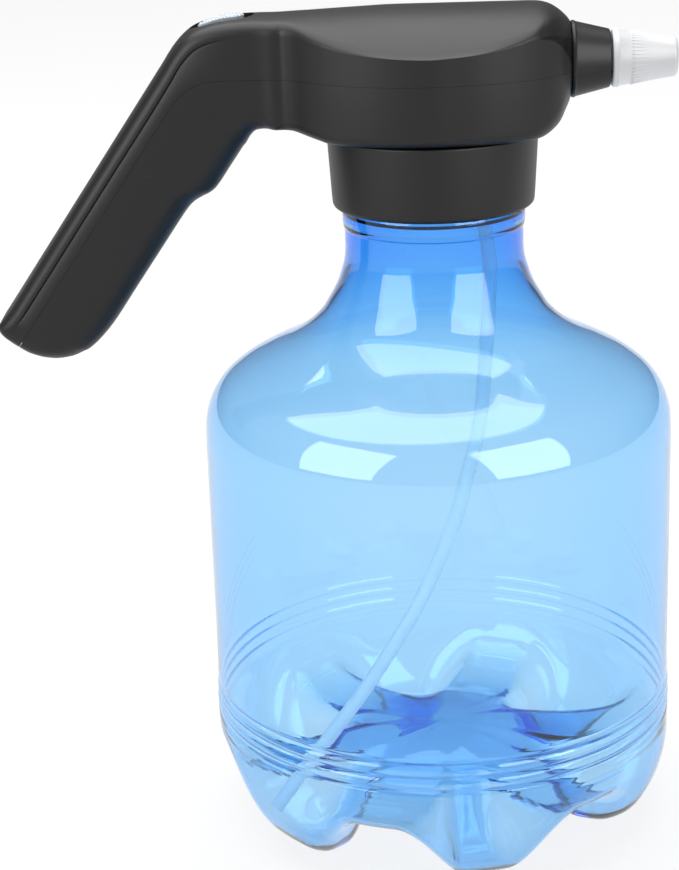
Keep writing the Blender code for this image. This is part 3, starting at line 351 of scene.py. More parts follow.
def turned(name, profile, paint, steps=96, centre=(0, 0), along_x=False, smooth_angle=35):
    """A closed (radius, height) outline turned about an upright axis, or about one along X."""
    rows = []
    shape = bmesh.new()
    for i in range(steps):
        angle = 2 * math.pi * i / steps
        row = []
        for radius, height in profile:
            a, b = radius * math.cos(angle), radius * math.sin(angle)
            spot = from_axis(height, centre[0] + a, centre[1] + b) if along_x else from_axis(
                centre[0] + a, centre[1] + b, height)
            row.append(shape.verts.new(spot))
        rows.append(row)
    count = len(profile)
    for i in range(steps):
        near, far = rows[i], rows[(i + 1) % steps]
        for k in range(count):
            shape.faces.new((near[k], far[k], far[(k + 1) % count], near[(k + 1) % count]))
    bmesh.ops.remove_doubles(shape, verts=shape.verts, dist=1e-7)
    return closed_object(name, shape, paint, smooth_angle)


def plain_mesh(made):
    """What the modifiers make, as the object's own mesh, with no modifier left."""
    bpy.context.view_layer.update()
    graph = bpy.context.evaluated_depsgraph_get()
    mesh = bpy.data.meshes.new_from_object(made.evaluated_get(graph))
    made.modifiers.clear()
    made.data = mesh
    return made


def boolean(made, other, operation="DIFFERENCE"):
    step = made.modifiers.new(operation.lower(), "BOOLEAN")
    step.operation = operation
    step.solver = "EXACT"
    step.object = other
    plain_mesh(made)
    bpy.data.objects.remove(other, do_unlink=True)
    return made


def finish_piece(made, body, nodes):
    """Puts a piece in for its CAD nodes, on their body, and hides those nodes."""
    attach(made, body)
    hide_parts(*nodes)
    print(made.name, "on", body, "faces", len(made.data.polygons) if made.type == "MESH" else "curve")
    return made


def catmull(points, per_span):
    """One smooth curve through points of any dimension, as a numpy array."""
    points = np.array(points, float)
    ends = np.vstack([2 * points[0] - points[1], points, 2 * points[-1] - points[-2]])
    route = []
    for a, b, c, d in zip(ends, ends[1:], ends[2:], ends[3:]):
        for i in range(per_span):
            t = i / per_span
            route.append(0.5 * (
                2 * b + (c - a) * t + (2 * a - 5 * b + 4 * c - d) * t**2 + (3 * b - a - 3 * c + d) * t**3
            ))
    route.append(points[-1])
    return np.array(route)


# %% [markdown]
# ## The dip tube
# A soft milky tube hangs from the fitting under the head and curls towards one foot, where the
# last of the liquid collects. It is a free cord, so it comes straight after the camera. It is one
# smooth curve through the same route as its CAD solid.

# %% Dip tube
TUBE_RADIUS = 0.0023
TUBE_ROUTE = (
    (0.0125, 0.0, 0.2125), (0.0126, 0.0, 0.2095), (0.0152, 0.0, 0.2005), (0.0172, 0.0, 0.1880),
    (0.0169, 0.0, 0.1740), (0.0159, -0.0005, 0.1580), (0.0145, -0.0015, 0.1410),
    (0.0120, -0.0030, 0.1260), (0.0089, -0.0045, 0.1143), (0.0054, -0.0065, 0.1020),
    (0.0003, -0.0090, 0.0898), (-0.0061, -0.0122, 0.0765), (-0.0148, -0.0168, 0.0627),
    (-0.0250, -0.0228, 0.0490), (-0.0352, -0.0284, 0.0370), (-0.0452, -0.0332, 0.0250),
    (-0.0545, -0.0370, 0.0135),
)


def hollow_tube(name, route, outer, inner, paint, sides=24):
    """A tube with a bore, swept along points with its rings kept square to the route."""
    shape = bmesh.new()
    rows = []
    side = Vector((0, 1, 0))
    for i, point in enumerate(route):
        ahead_of = Vector(route[min(i + 1, len(route) - 1)]) - Vector(route[max(i - 1, 0)])
        along = ahead_of.normalized()
        side = (side - along * side.dot(along)).normalized()
        other = along.cross(side)
        rows.append([
            [shape.verts.new(Vector(point) + (side * math.cos(a) + other * math.sin(a)) * radius)
             for a in [2 * math.pi * k / sides for k in range(sides)]]
            for radius in (outer, inner)
        ])
    for near, far in zip(rows, rows[1:]):
        for wall in (0, 1):
            for k in range(sides):
                n = (k + 1) % sides
                shape.faces.new((near[wall][k], near[wall][n], far[wall][n], far[wall][k]))
    for end in (rows[0], rows[-1]):
        for k in range(sides):
            n = (k + 1) % sides
            shape.faces.new((end[0][k], end[0][n], end[1][n], end[1][k]))
    return closed_object(name, shape, paint)


tube_path = [from_axis(*point) for point in catmull(TUBE_ROUTE, 8)]
dip_tube = hollow_tube("dip_tube_soft", tube_path, TUBE_RADIUS, TUBE_RADIUS * 0.62, MILKY_TUBE_PAINTED_GLOW)
finish_piece(dip_tube, "head", ["dip_tube"])

# %% [markdown]
# ## The bottle as a rule
# The bottle's base has six feet with valleys between them. Both a foot and a valley have a simple
# outline from the wall to the middle, and the skin runs from one to the other as it goes round. So
# a grid carries both outlines as attributes, and Geometry Nodes set each point from its angle: the
# nearer to a foot, the more of the foot's outline it takes. The inner skin runs the same way on
# outlines moved in by the wall, which is thick at the neck and thin round the body.

# %% Bottle outlines
BODY_R = 0.0750
FEET = 6
FOOT_TURN = math.radians(12 - 90)

NECK_PROFILE = [
    (0.0264, 0.2179), (0.0264, 0.2074), (0.0270, 0.2062), (0.0286, 0.2058), (0.0286, 0.1999),
    (0.0282, 0.1990), (0.0281, 0.1975),
]
SHOULDER_PROFILE = [
    (0.0281, 0.1975), (0.0283, 0.1895), (0.0299, 0.1835), (0.0315, 0.1795), (0.0337, 0.1755),
    (0.0366, 0.1710), (0.0410, 0.1665), (0.0470, 0.1623), (0.0550, 0.1582), (0.0625, 0.1542),
    (0.0685, 0.1498), (0.0723, 0.1448), (0.0744, 0.1390), (0.0750, 0.1320), (0.0750, 0.1250),
]
VALLEY = [
    (0.0754, 0.0340), (0.0752, 0.0312), (0.0728, 0.0250), (0.0675, 0.0209), (0.0600, 0.0186),
    (0.0535, 0.0178), (0.0465, 0.0176), (0.0415, 0.0179), (0.0376, 0.0184), (0.0338, 0.0190),
    (0.0270, 0.0203), (0.0140, 0.0225), (0.0, 0.0233),
]
FOOT = [
    (0.0754, 0.0340), (0.0752, 0.0250), (0.0728, 0.0155), (0.0675, 0.0070), (0.0600, 0.0016),
    (0.0535, 0.0000), (0.0465, 0.0000), (0.0415, 0.0034), (0.0376, 0.0092), (0.0338, 0.0150),
    (0.0270, 0.0196), (0.0140, 0.0224), (0.0, 0.0233),
]
GROOVE_HEIGHTS = (0.0475, 0.0430, 0.0385)
GROOVE_DEPTH = 0.0006
GROOVE_HALF_WIDTH = 0.0011


def body_radius(z):
    """The straight wall, its three pressed rings and the slight swell that they sit on."""
    swell = 0.0006 * math.exp(-(((z - 0.0395) / 0.0100) ** 2))
    grooves = sum(math.exp(-(((z - height) / GROOVE_HALF_WIDTH) ** 2)) for height in GROOVE_HEIGHTS)
    return BODY_R + swell - GROOVE_DEPTH * grooves


def skin_inside(points, walls):
    """An outline moved in by the wall at each point, square to itself, and kept off the axis."""
    points = np.array(points, float)
    along = np.gradient(points, axis=0)
    along /= np.linalg.norm(along, axis=1)[:, None]
    inward = np.column_stack([along[:, 1], -along[:, 0]])
    moved = points + inward * np.array(walls)[:, None]
    moved[0, 1] = points[0, 1]
    moved[:, 0] = np.maximum(moved[:, 0], 0.0)
    moved[-1] = (0.0, points[-1, 1] + walls[-1])
    return moved


def bottle_outline():
    """Rows of valley r, valley z, foot r, foot z: down the outer skin, then back up the inner."""
    neck, shoulder = catmull(NECK_PROFILE, 3), catmull(SHOULDER_PROFILE, 4)
    valley = [tuple(point) for point in np.vstack([neck, shoulder[1:]])]
    valley += [(BODY_R, z) for z in np.linspace(0.1200, 0.0525, 5)]
    valley += [(body_radius(z), z) for z in np.arange(0.0512, 0.0345, -0.0005)]
    foot = valley + [tuple(point) for point in catmull(FOOT, 7)]
    valley = valley + [tuple(point) for point in catmull(VALLEY, 7)]
    heights = (0.0350, 0.130, 0.150, 0.165, 0.180, 0.195)
    walls = (0.0010, 0.0009, 0.0010, 0.0013, 0.0021, 0.0029)
    thick = [float(np.interp(z, heights, walls)) for _, z in valley]
    for index, (radius, z) in enumerate(valley):
        if z < 0.034:
            thick[index] = float(
                np.interp(radius, (0.0, 0.030, 0.050, 0.070), (0.0030, 0.0028, 0.0016, 0.0011))
            )
    outer = np.hstack([valley, foot])
    inner = np.hstack([skin_inside(valley, thick), skin_inside(foot, thick)])
    return [tuple(row) for row in np.vstack([outer, inner[::-1]])]


outline = bottle_outline()
print("bottle outline rings:", len(outline))

# %% [markdown]
# The grid is built ring by ring on the valley's outline, round like a plain bottle, and each
# point holds its ring's two outlines and its own angle. The tree below then moves the points, so
# the feet can be changed without touching the grid.

# %% Grid that carries the outlines
BOTTLE_STEPS = 228


def outline_grid(name, rings, steps):
    """A closed grid down one skin and up the other, with each ring's numbers on its points."""
    shape = bmesh.new()
    names = ("valley_r", "valley_z", "foot_r", "foot_z", "angle")
    layers = {key: shape.verts.layers.float.new(key) for key in names}
    rows = []
    for index, ring in enumerate(rings):
        at_pole = index in (len(rings) // 2 - 1, len(rings) // 2)
        row = []
        for k in range(1 if at_pole else steps):
            angle = FOOT_TURN + 2 * math.pi * k / steps
            vertex = shape.verts.new((ring[0] * math.cos(angle), ring[0] * math.sin(angle), ring[1]))
            for key, value in zip(names, (*ring, angle)):
                vertex[layers[key]] = value
            row.append(vertex)
        rows.append(row)
    rows.append(rows[0])
    for upper, lower in zip(rows, rows[1:]):
        for k in range(steps):
            n = (k + 1) % steps
            if len(upper) == 1 and len(lower) == 1:
                continue
            if len(lower) == 1:
                shape.faces.new((upper[n], upper[k], lower[0]))
            elif len(upper) == 1:
                shape.faces.new((upper[0], lower[k], lower[n]))
            else:
                shape.faces.new((upper[n], upper[k], lower[k], lower[n]))
    mesh = bpy.data.meshes.new(name)
    shape.to_mesh(mesh)
    shape.free()
    return placed(name, mesh)


bottle = outline_grid("blown_bottle", outline, BOTTLE_STEPS)
print("bottle grid points:", len(bottle.data.vertices))

# %% [markdown]
# A foot and a valley take turns round the base. The tree folds each point's angle into one
# sector, works out how near it is to the foot, and mixes the two outlines by that share. A
# formula does this more evenly than pushing vertices by hand.

# %% Bottle tree
FOOTED, footed_in, footed_out = new_group(
    "footed bottle",
    [
        ("Geometry", "NodeSocketGeometry", None), ("Feet", "NodeSocketFloat", 6.0),
        ("Foot Turn", "NodeSocketFloat", 0.0), ("Valley Half Angle", "NodeSocketFloat", 0.08),
        ("Inner Valley Half Angle", "NodeSocketFloat", 0.26), ("Foot Half Angle", "NodeSocketFloat", 0.13),
        ("Axis X", "NodeSocketFloat", 0.0), ("Plastic", "NodeSocketMaterial", None),
    ],
    [("Geometry", "NodeSocketGeometry")],
    "GeometryNodeTree",
)


def maths(tree, operation, *values):
    """One Math node. A value is a number or another node's output."""
    node = add(tree, "ShaderNodeMath", operation=operation)
    for socket, value in zip(node.inputs, values):
        if isinstance(value, (int, float)):
            socket.default_value = value
        else:
            join(tree, value, socket)
    return node.outputs[0]


def stored(tree, name):
    node = add(tree, "GeometryNodeInputNamedAttribute", data_type="FLOAT")
    node.inputs["Name"].default_value = name
    return node.outputs["Attribute"]


def smooth_step(tree, value, low, high):
    """0 below low, 1 above high, and a smooth rise between, where low and high may vary."""
    share = maths(tree, "DIVIDE", maths(tree, "SUBTRACT", value, low), maths(tree, "SUBTRACT", high, low))
    share = maths(tree, "MINIMUM", maths(tree, "MAXIMUM", share, 0.0), 1.0)
    steep = maths(tree, "SUBTRACT", 3.0, maths(tree, "MULTIPLY", share, 2.0))
    return maths(tree, "MULTIPLY", maths(tree, "MULTIPLY", share, share), steep)


def between(tree, share, low, high):
    return maths(tree, "ADD", low, maths(tree, "MULTIPLY", share, maths(tree, "SUBTRACT", high, low)))


T = FOOTED
angle_at = stored(T, "angle")
turned_on = maths(T, "SUBTRACT", angle_at, footed_in.outputs["Foot Turn"])
sector = maths(T, "DIVIDE", 2 * math.pi, footed_in.outputs["Feet"])
half_sector = maths(T, "MULTIPLY", sector, 0.5)
from_foot = maths(T, "ABSOLUTE", maths(T, "SUBTRACT", maths(
    T, "FLOORED_MODULO", maths(T, "ADD", turned_on, half_sector), sector), half_sector))
from_valley = maths(T, "SUBTRACT", half_sector, from_foot)
inward_share = smooth_step(T, maths(T, "MULTIPLY", stored(T, "valley_r"), -1.0), -0.0745, -0.0330)
valley_half = between(T, inward_share, footed_in.outputs["Valley Half Angle"],
                      footed_in.outputs["Inner Valley Half Angle"])
near_centre = smooth_step(T, maths(T, "MULTIPLY", stored(T, "valley_r"), -1.0), -0.0500, -0.0300)
foot_half = maths(T, "MULTIPLY", footed_in.outputs["Foot Half Angle"], between(T, near_centre, 1.0, 0.25))
foot_start = maths(T, "SUBTRACT", half_sector, foot_half)
foot_share = smooth_step(T, from_valley, valley_half, foot_start)
radius_at = between(T, foot_share, stored(T, "valley_r"), stored(T, "foot_r"))
height_at = between(T, foot_share, stored(T, "valley_z"), stored(T, "foot_z"))
spot = add(T, "ShaderNodeCombineXYZ")
join(T, maths(T, "ADD", footed_in.outputs["Axis X"], maths(
    T, "MULTIPLY", radius_at, maths(T, "COSINE", angle_at))), spot.inputs[0])
join(T, maths(T, "MULTIPLY", radius_at, maths(T, "SINE", angle_at)), spot.inputs[1])
join(T, height_at, spot.inputs[2])
shaped = add(T, "GeometryNodeSetPosition", "take the outline")
join(T, footed_in.outputs["Geometry"], shaped.inputs["Geometry"])
join(T, spot.outputs[0], shaped.inputs["Position"])
smooth = add(T, "GeometryNodeSetShadeSmooth")
join(T, shaped.outputs["Geometry"], smooth.inputs["Geometry"])
real = add(T, "GeometryNodeRealizeInstances")
join(T, smooth.outputs["Geometry"], real.inputs["Geometry"])
painted = add(T, "GeometryNodeSetMaterial")
join(T, real.outputs["Geometry"], painted.inputs["Geometry"])
join(T, footed_in.outputs["Plastic"], painted.inputs["Material"])
join(T, painted.outputs["Geometry"], footed_out.inputs["Geometry"])
print("bottle tree nodes:", len(T.nodes))


# %% [markdown]
# The tree runs as a modifier and its result is kept as a plain mesh. The volume and the open
# edges are printed, because a clear plastic needs a closed skin to colour well.

# %% Run the bottle tree
def run_tree(made, tree, values):
    """Adds the tree as a modifier, sets its inputs by their identifiers, and keeps the result."""
    step = made.modifiers.new(tree.name, "NODES")
    step.node_group = tree
    for item in tree.interface.items_tree:
        if item.item_type == "SOCKET" and item.in_out == "INPUT" and item.name in values:
            step[item.identifier] = values[item.name]
    return plain_mesh(made)


run_tree(bottle, FOOTED, {
    "Feet": float(FEET), "Foot Turn": FOOT_TURN, "Valley Half Angle": 0.085, "Inner Valley Half Angle": 0.27,
    "Foot Half Angle": 0.11, "Axis X": AXIS_X, "Plastic": BLUE_CLEAR,
})
check = bmesh.new()
check.from_mesh(bottle.data)
print("bottle volume of plastic, ml:", round(check.calc_volume(signed=True) * 1e6, 1),
      "open edges:", sum(1 for e in check.edges if len(e.link_faces) != 2))
check.free()

# %% [markdown]
# ## The neck's thread
# The collar grips a coarse thread on the neck. A thread is a small section that climbs as it turns,
# thinned at both ends so that it starts and stops softly.


# %% Thread helper and neck thread
def thread(name, root, crest, foot_width, crest_width, pitch, turns, start, paint, steps=72, along_x=False,
           centre_z=0.0):
    rings = []
    count = int(steps * turns)
    for i in range(count + 1):
        angle = 2 * math.pi * turns * i / count
        fade = min(1.0, min(i, count - i) / (0.1 * steps) + 0.05)
        middle = start + pitch * angle / (2 * math.pi)
        tip = root + (crest - root) * fade
        foot, top = foot_width * (0.4 + 0.6 * fade) / 2, crest_width * fade / 2
        ring = []
        for radius, rise in ((root, -foot), (tip, -top), (tip, top), (root, foot)):
            a, b = radius * math.cos(angle), radius * math.sin(angle)
            along = middle + rise
            ring.append(from_axis(along, b, centre_z - a) if along_x else from_axis(a, b, along))
        rings.append(ring)
    return lofted(name, rings, paint)


NECK_PITCH = 0.0045
neck_thread = thread("neck_ridge", 0.0260, 0.0284, 0.0020, 0.0009, NECK_PITCH, 1.3, 0.2092, BLUE_CLEAR)
boolean(bottle, neck_thread, "UNION")
smoothed(bottle.data, 78)
finish_piece(bottle, "bottle", ["bottle"])

# %% [markdown]
# ## The screw collar
# The collar is a plain skirt, a little wider at its top, with a soft lower edge and a web that
# holds the head's flange down. It is turned from one closed outline and gets its own thread.

# %% Collar
ARC = [math.radians(a) for a in range(0, 91, 15)]
lower_edge = [(0.0300 + 0.0016 * math.cos(a), 0.2072 - 0.0016 * math.sin(a)) for a in ARC]
upper_edge = [(0.0322 + 0.0006 * math.sin(a), 0.2280 + 0.0006 * math.cos(a)) for a in ARC]
collar_outline = upper_edge + [(0.0328, 0.2279), (0.0318, 0.2100)] + lower_edge + [
    (0.0297, 0.2056), (0.0294, 0.2059), (0.0294, 0.2222), (0.0218, 0.2222), (0.0218, 0.2247),
    (0.0302, 0.2247), (0.0302, 0.2283), (0.0305, 0.2286),
]
collar = turned("screw_collar_skirt", collar_outline, COLLAR_BLACK, 160)
collar_ridge = thread("collar_ridge", 0.0298, 0.0272, 0.0018, 0.0008, NECK_PITCH, 1.3,
                      0.2092 + NECK_PITCH / 2, COLLAR_BLACK)
boolean(collar, collar_ridge, "UNION")
smoothed(collar.data, 38)
finish_piece(collar, "collar", ["screw_collar"])

# %% [markdown]
# ## The head's shells
# The head is one body that runs from the nozzle, over the pod that holds the pump, round a bend and
# down the handle. Its sections are rounded rectangles whose size, edge radius and crown change from
# station to station, so it is lofted. A smaller loft takes out the inside, and the parting line
# divides the shell into an upper and a lower half with a hair's breadth between them.

# %% Head stations
POD_LENGTH_R, POD_WIDTH_R, ARM_HALF_WIDTH = 0.0450, 0.0340, 0.0135
NOSE_R = 0.0116
HANDLE_TOP = Vector((-0.0758, 0, 0.2611))
HANDLE_DOWN = Vector((-0.5735, 0, -0.8192)).normalized()
HANDLE_FORWARD = Vector((0.8192, 0, -0.5735)).normalized()
CROWN = 10.5
EDGE_R, LOWER_EDGE_R, GRIP_EDGE_R = 0.0036, 0.0030, 0.0088


def in_handle(down, depth, side=0.0):
    """A point down the handle, this far forward of its back, and to one side, from the axis."""
    return HANDLE_TOP + HANDLE_DOWN * down + HANDLE_FORWARD * depth + Vector((0, side, 0))


def pod_half_width(x):
    """An oval in plan, which meets the handle's root in a small hollow curve."""
    oval = POD_WIDTH_R * math.sqrt(max(0.0, 1 - (x / POD_LENGTH_R) ** 2))
    if x > 0:
        return max(oval, NOSE_R)
    blend = 0.0060
    return (oval + ARM_HALF_WIDTH + math.sqrt((oval - ARM_HALF_WIDTH) ** 2 + blend**2)) / 2


def head_stations():
    """Rows of top x, top z, bottom x, bottom z, half width, upper and lower edge radius, groove."""
    rows = [
        (0.0424, 0.2609, 0.0424, 0.2377, NOSE_R, NOSE_R, NOSE_R, 0),
        (0.0418, 0.2617, 0.0418, 0.2366, 0.0128, 0.0112, 0.0105, 0),
        (0.0408, 0.2628, 0.0408, 0.2353, 0.0142, 0.0100, 0.0085, 0),
        (0.0388, 0.2645, 0.0388, 0.2325, 0.0173, 0.0080, 0.0060, 0),
        (0.0363, 0.2660, 0.0363, 0.2306, 0.0202, 0.0065, 0.0050, 0),
        (0.0335, 0.2668, 0.0335, 0.2293, pod_half_width(0.0335), 0.0055, 0.0042, 0),
    ]
    for x in (0.0305, 0.026, 0.020, 0.014, 0.007, 0.0, -0.007, -0.014, -0.020, -0.026, -0.031, -0.034,
              -0.0365, -0.0385, -0.0405, -0.0425, -0.0450, -0.0480):
        droop = 0.0015 * min(1.0, max(0.0, (-x - 0.012) / 0.035))
        rise = 0.0026 * min(1.0, max(0.0, (-x - 0.030) / 0.012))
        rows.append((x, 0.2670 - droop, x, 0.2290 + rise, pod_half_width(x), EDGE_R, LOWER_EDGE_R, 0))
    for top, foot, radius, groove in (
        ((-0.0535, 0.2655), (-0.0508, 0.2317), 0.0050, 0.0),
        ((-0.0620, 0.2651), (-0.0540, 0.2311), 0.0065, 0.3),
        ((-0.0688, 0.2638), (-0.0560, 0.2292), 0.0075, 0.8),
        ((-0.0740, 0.2615), (-0.0575, 0.2268), 0.0085, 1.0),
    ):
        rows.append((*top, *foot, ARM_HALF_WIDTH, EDGE_R, radius, groove))
    for down, low_down, depth in (
        (0.005, 0.0190, 0.0345), (0.013, 0.0215, 0.0345), (0.024, 0.0265, 0.0345), (0.0325, 0.0330, 0.0345),
        (0.0360, 0.0362, 0.0340), (0.0390, 0.0392, 0.0324), (0.0425, 0.0425, 0.0310), (0.047, 0.0470, 0.0305),
        (0.060, 0.0600, 0.0305), (0.075, 0.0750, 0.0305), (0.090, 0.0900, 0.0305),
    ):
        top, low = in_handle(down, 0), in_handle(low_down, depth)
        rows.append((top.x, top.z, low.x, low.z, ARM_HALF_WIDTH, EDGE_R, GRIP_EDGE_R, 1.0))
    for down, depth, low_down, low_depth, width, groove in (
        (0.1010, 0.0, 0.0993, 0.0292, 0.0135, 1.0), (0.1045, 0.0, 0.1030, 0.0275, 0.0134, 0.6),
        (0.1080, 0.0, 0.1062, 0.0255, 0.0131, 0.0), (0.1102, 0.0004, 0.1090, 0.0228, 0.0124, 0.0),
        (0.1116, 0.0016, 0.1109, 0.0200, 0.0113, 0.0), (0.1126, 0.0040, 0.1124, 0.0165, 0.0090, 0.0),
    ):
        top, low = in_handle(down, depth), in_handle(low_down, low_depth)
        lower = min(GRIP_EDGE_R, 0.45 * (top - low).length)
        rows.append((top.x, top.z, low.x, low.z, width, EDGE_R, lower, groove))
    return rows


station_rows = catmull(head_stations(), 5)
print("head stations:", len(station_rows))

# %% [markdown]
# Each station becomes one closed ring. A groove in the ring's side runs along the handle, as on
# the real shell, and an inset ring gives the inside of the wall.

# %% Head sections
CORNER_STEPS = 7
GROOVE_BACK, GROOVE_CUT = 0.0046, 0.00055


def head_section(row, inset):
    """One ring: four rounded edges, a crown on top, and the handle's groove behind each side."""
    top, bottom = Vector((row[0], 0, row[1])), Vector((row[2], 0, row[3]))
    half_width, upper_r, lower_r, groove = row[4:8]
    lift_way = (top - bottom).normalized()
    reach = (top - bottom).length / 2 - inset
    middle = (top + bottom) / 2
    width = half_width - inset
    upper = min(max(upper_r - inset, 0.0008), width * 0.999, reach * 0.999)
    lower = min(max(lower_r - inset, 0.0008), width * 0.999, reach * 0.999)
    cut = 0.0 if inset else GROOVE_CUT * groove
    level = max(reach - GROOVE_BACK, -0.2 * reach)
    side_marks = [(0.0, level - 0.0012), (cut, level), (0.0, level + 0.00045)]
    right_side = [(width - c, y) for c, y in side_marks]
    left_side = [(c - width, y) for c, y in reversed(side_marks)]
    half_way = (lower - reach + level - 0.0012) / 2
    outline = [(width, half_way), *right_side]
    quarter = [i / (CORNER_STEPS - 1) for i in range(CORNER_STEPS)]
    for side, lift, radius, first in (
        (width - upper, reach - upper, upper, 0), (upper - width, reach - upper, upper, 90),
        (lower - width, lower - reach, lower, 180), (width - lower, lower - reach, lower, 270),
    ):
        for step in quarter:
            angle = math.radians(first + 90 * step)
            outline.append((side + radius * math.cos(angle), lift + radius * math.sin(angle)))
        if first == 0:
            inner = width - upper
            outline += [(inner * share, reach) for share in (0.75, 0.5, 0.25, 0.0, -0.25, -0.5, -0.75)]
        if first == 90:
            outline += [*left_side, (-width, half_way)]
        if first == 180:
            outline += [((width - lower) * share, -reach) for share in (-0.5, 0.0, 0.5)]
    ring = []
    crowned = min(1.0, max(0.0, (half_width - ARM_HALF_WIDTH + 0.001) / 0.001))
    for side, lift in outline:
        drop = crowned * CROWN * side * side * max(0.0, lift / reach) ** 2
        place = middle + lift_way * (lift - drop) + Vector((0, side, 0))
        ring.append(from_axis(place.x, place.y, place.z))
    return ring


HEAD_WALL = 0.0022
shell = lofted("head_shell", [head_section(row, 0.0) for row in station_rows], CHARCOAL)
core = lofted("head_core", [head_section(row, HEAD_WALL) for row in station_rows[6:-8]], CHARCOAL)
boolean(shell, core)
print("shell faces:", len(shell.data.polygons))


# %% [markdown]
# A moulded housing has openings for the neck, the outlet, the button and the charging port. Each
# is cut with a plain solid, because Boolean cuts keep crisp rims, and the neck's spigot is joined
# on.

# %% Holes in the shells
def rod_cutter(name, radius, start, end, steps=64):
    """A plain cylinder between two points given from the axis."""
    start, end = from_axis(*start), from_axis(*end)
    way = (end - start).normalized()
    side = way.orthogonal().normalized()
    other = way.cross(side)
    rings = [
        [spot + (side * math.cos(a) + other * math.sin(a)) * radius
         for a in [2 * math.pi * i / steps for i in range(steps)]]
        for spot in (start, end)
    ]
    return lofted(name, rings, CHARCOAL)


BUTTON_X, BUTTON_LENGTH, BUTTON_WIDTH = -0.0640, 0.0142, 0.0096
WELL_TILT = math.radians(-11)
NOZZLE_Z = 0.2493
PORT_DEPTH = 0.0146


def oval(name, length, width, low, high, tilt=0.0, steps=24, paint=None):
    """A slot with round ends on the button's axis."""
    straight = (length - width) / 2
    edge = []
    for side in (1, -1):
        for i in range(steps + 1):
            angle = math.pi * (i / steps - 0.5)
            edge.append((side * (straight + width / 2 * math.cos(angle)), side * width / 2 * math.sin(angle)))
    rings = []
    for height in (low, high):
        ring = []
        for x, y in edge:
            along = x * math.cos(tilt) + height * math.sin(tilt)
            upward = -x * math.sin(tilt) + height * math.cos(tilt)
            ring.append(from_axis(BUTTON_X + along, y, 0.2645 + upward))
        rings.append(ring)
    return lofted(name, rings, paint or CHARCOAL)


def handle_box(name, low, high):
    """A box in the handle's own directions: down, forward and sideways."""
    rings = []
    for down in (low[0], high[0]):
        corners = ((low[1], low[2]), (high[1], low[2]), (high[1], high[2]), (low[1], high[2]))
        rings.append([from_axis(*in_handle(down, depth, side)) for depth, side in corners])
    return lofted(name, rings, CHARCOAL)


boolean(shell, rod_cutter("throat", 0.0195, (0, 0, 0.2200), (0, 0, 0.2330), 96))
boolean(shell, rod_cutter("nose_hole", 0.0090, (0.0360, 0, NOZZLE_Z), (0.0480, 0, NOZZLE_Z)))
boolean(shell, oval("button_room", 0.0180, 0.0134, -0.0120, -0.0039))
boolean(shell, oval("button_well", 0.0204, 0.0150, -0.0028, 0.0080, WELL_TILT))
boolean(shell, oval("button_hole", 0.0150, 0.0104, -0.0080, 0.0080))
boolean(shell, handle_box("port_recess", (0.1110, PORT_DEPTH - 0.0034, -0.0064),
                          (0.1200, PORT_DEPTH + 0.0034, 0.0064)))
boolean(shell, handle_box("port_hole", (0.1000, PORT_DEPTH - 0.0020, -0.0049),
                          (0.1200, PORT_DEPTH + 0.0020, 0.0049)))
spigot_outline = [(0.0215, 0.2222), (0.0195, 0.2222), (0.0195, 0.2302), (0.0215, 0.2302)]
boolean(shell, turned("spigot", spigot_outline, CHARCOAL, 96), "UNION")
print("shell faces after the holes:", len(shell.data.polygons))

# %% [markdown]
# The two halves of the housing meet along one line, level over the pod and then down the side of
# the handle. Each half is what a thick plate on its own side of that line keeps of the shell.

# %% Parting line
PARTING_Z, PARTING_DEPTH, PARTING_GAP = 0.2473, 0.0094, 0.00007


def parting_line(shift):
    """(x, z) from in front of the nozzle to past the handle's end, moved up and back by shift."""
    level = PARTING_Z + shift
    depth = PARTING_DEPTH - shift
    corner_down = (HANDLE_TOP.z - level + HANDLE_FORWARD.z * depth) / -HANDLE_DOWN.z
    corner = in_handle(corner_down, depth)
    bend = 0.0095
    start, end = Vector((corner.x + bend, 0, level)), corner + HANDLE_DOWN * bend
    line = [Vector((0.070, 0, level))]
    for i in range(17):
        t = i / 16
        line.append(start * (1 - t) ** 2 + corner * 2 * t * (1 - t) + end * t * t)
    line.append(in_handle(0.130, depth))
    return [(point.x, point.z) for point in line]


def shell_side(name, edge):
    """A thick plate with this outline in the XZ plane."""
    rings = [[from_axis(x, y, z) for x, z in edge] for y in (-0.050, 0.050)]
    return lofted(name, rings, CHARCOAL)


upper_edge_line = parting_line(PARTING_GAP / 2) + [(-0.20, 0.14), (-0.20, 0.30), (0.070, 0.30)]
lower_edge_line = parting_line(-PARTING_GAP / 2) + [(-0.10, 0.10), (0.070, 0.10)]
for name, edge, node in (
    ("upper_shell", upper_edge_line, "upper_housing"), ("lower_shell", lower_edge_line, "lower_housing"),
):
    half = placed(name, shell.data.copy())
    boolean(half, shell_side(f"{name}_side", edge), "INTERSECT")
    painted_only(half.data, CHARCOAL)
    smoothed(half.data, 32)
    finish_piece(half, "head", [node])
bpy.data.objects.remove(shell, do_unlink=True)

# %% [markdown]
# The charging port in the handle's end is shut by a rubber plug. Its face is trimmed to the
# handle's own skin, so that it sits flush with the rounded end.

# %% Port plug
plug_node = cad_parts["charge_plug"]
plug = placed("port_plug_cover", plug_node.data.copy())
plug.data.transform(plug_node.matrix_world)
head_skin = lofted("head_skin", [head_section(row, 0.0) for row in station_rows[60:]], CHARCOAL)
boolean(plug, head_skin, "INTERSECT")
painted_only(plug.data, RUBBER)
finish_piece(plug, "port_plug", ["charge_plug"])

# %% [markdown]
# Moulded halves meet with a lip: a thin band inside the joint keeps light and dust from passing
# straight through. It is the same loft at two insets, kept only beside the parting line.

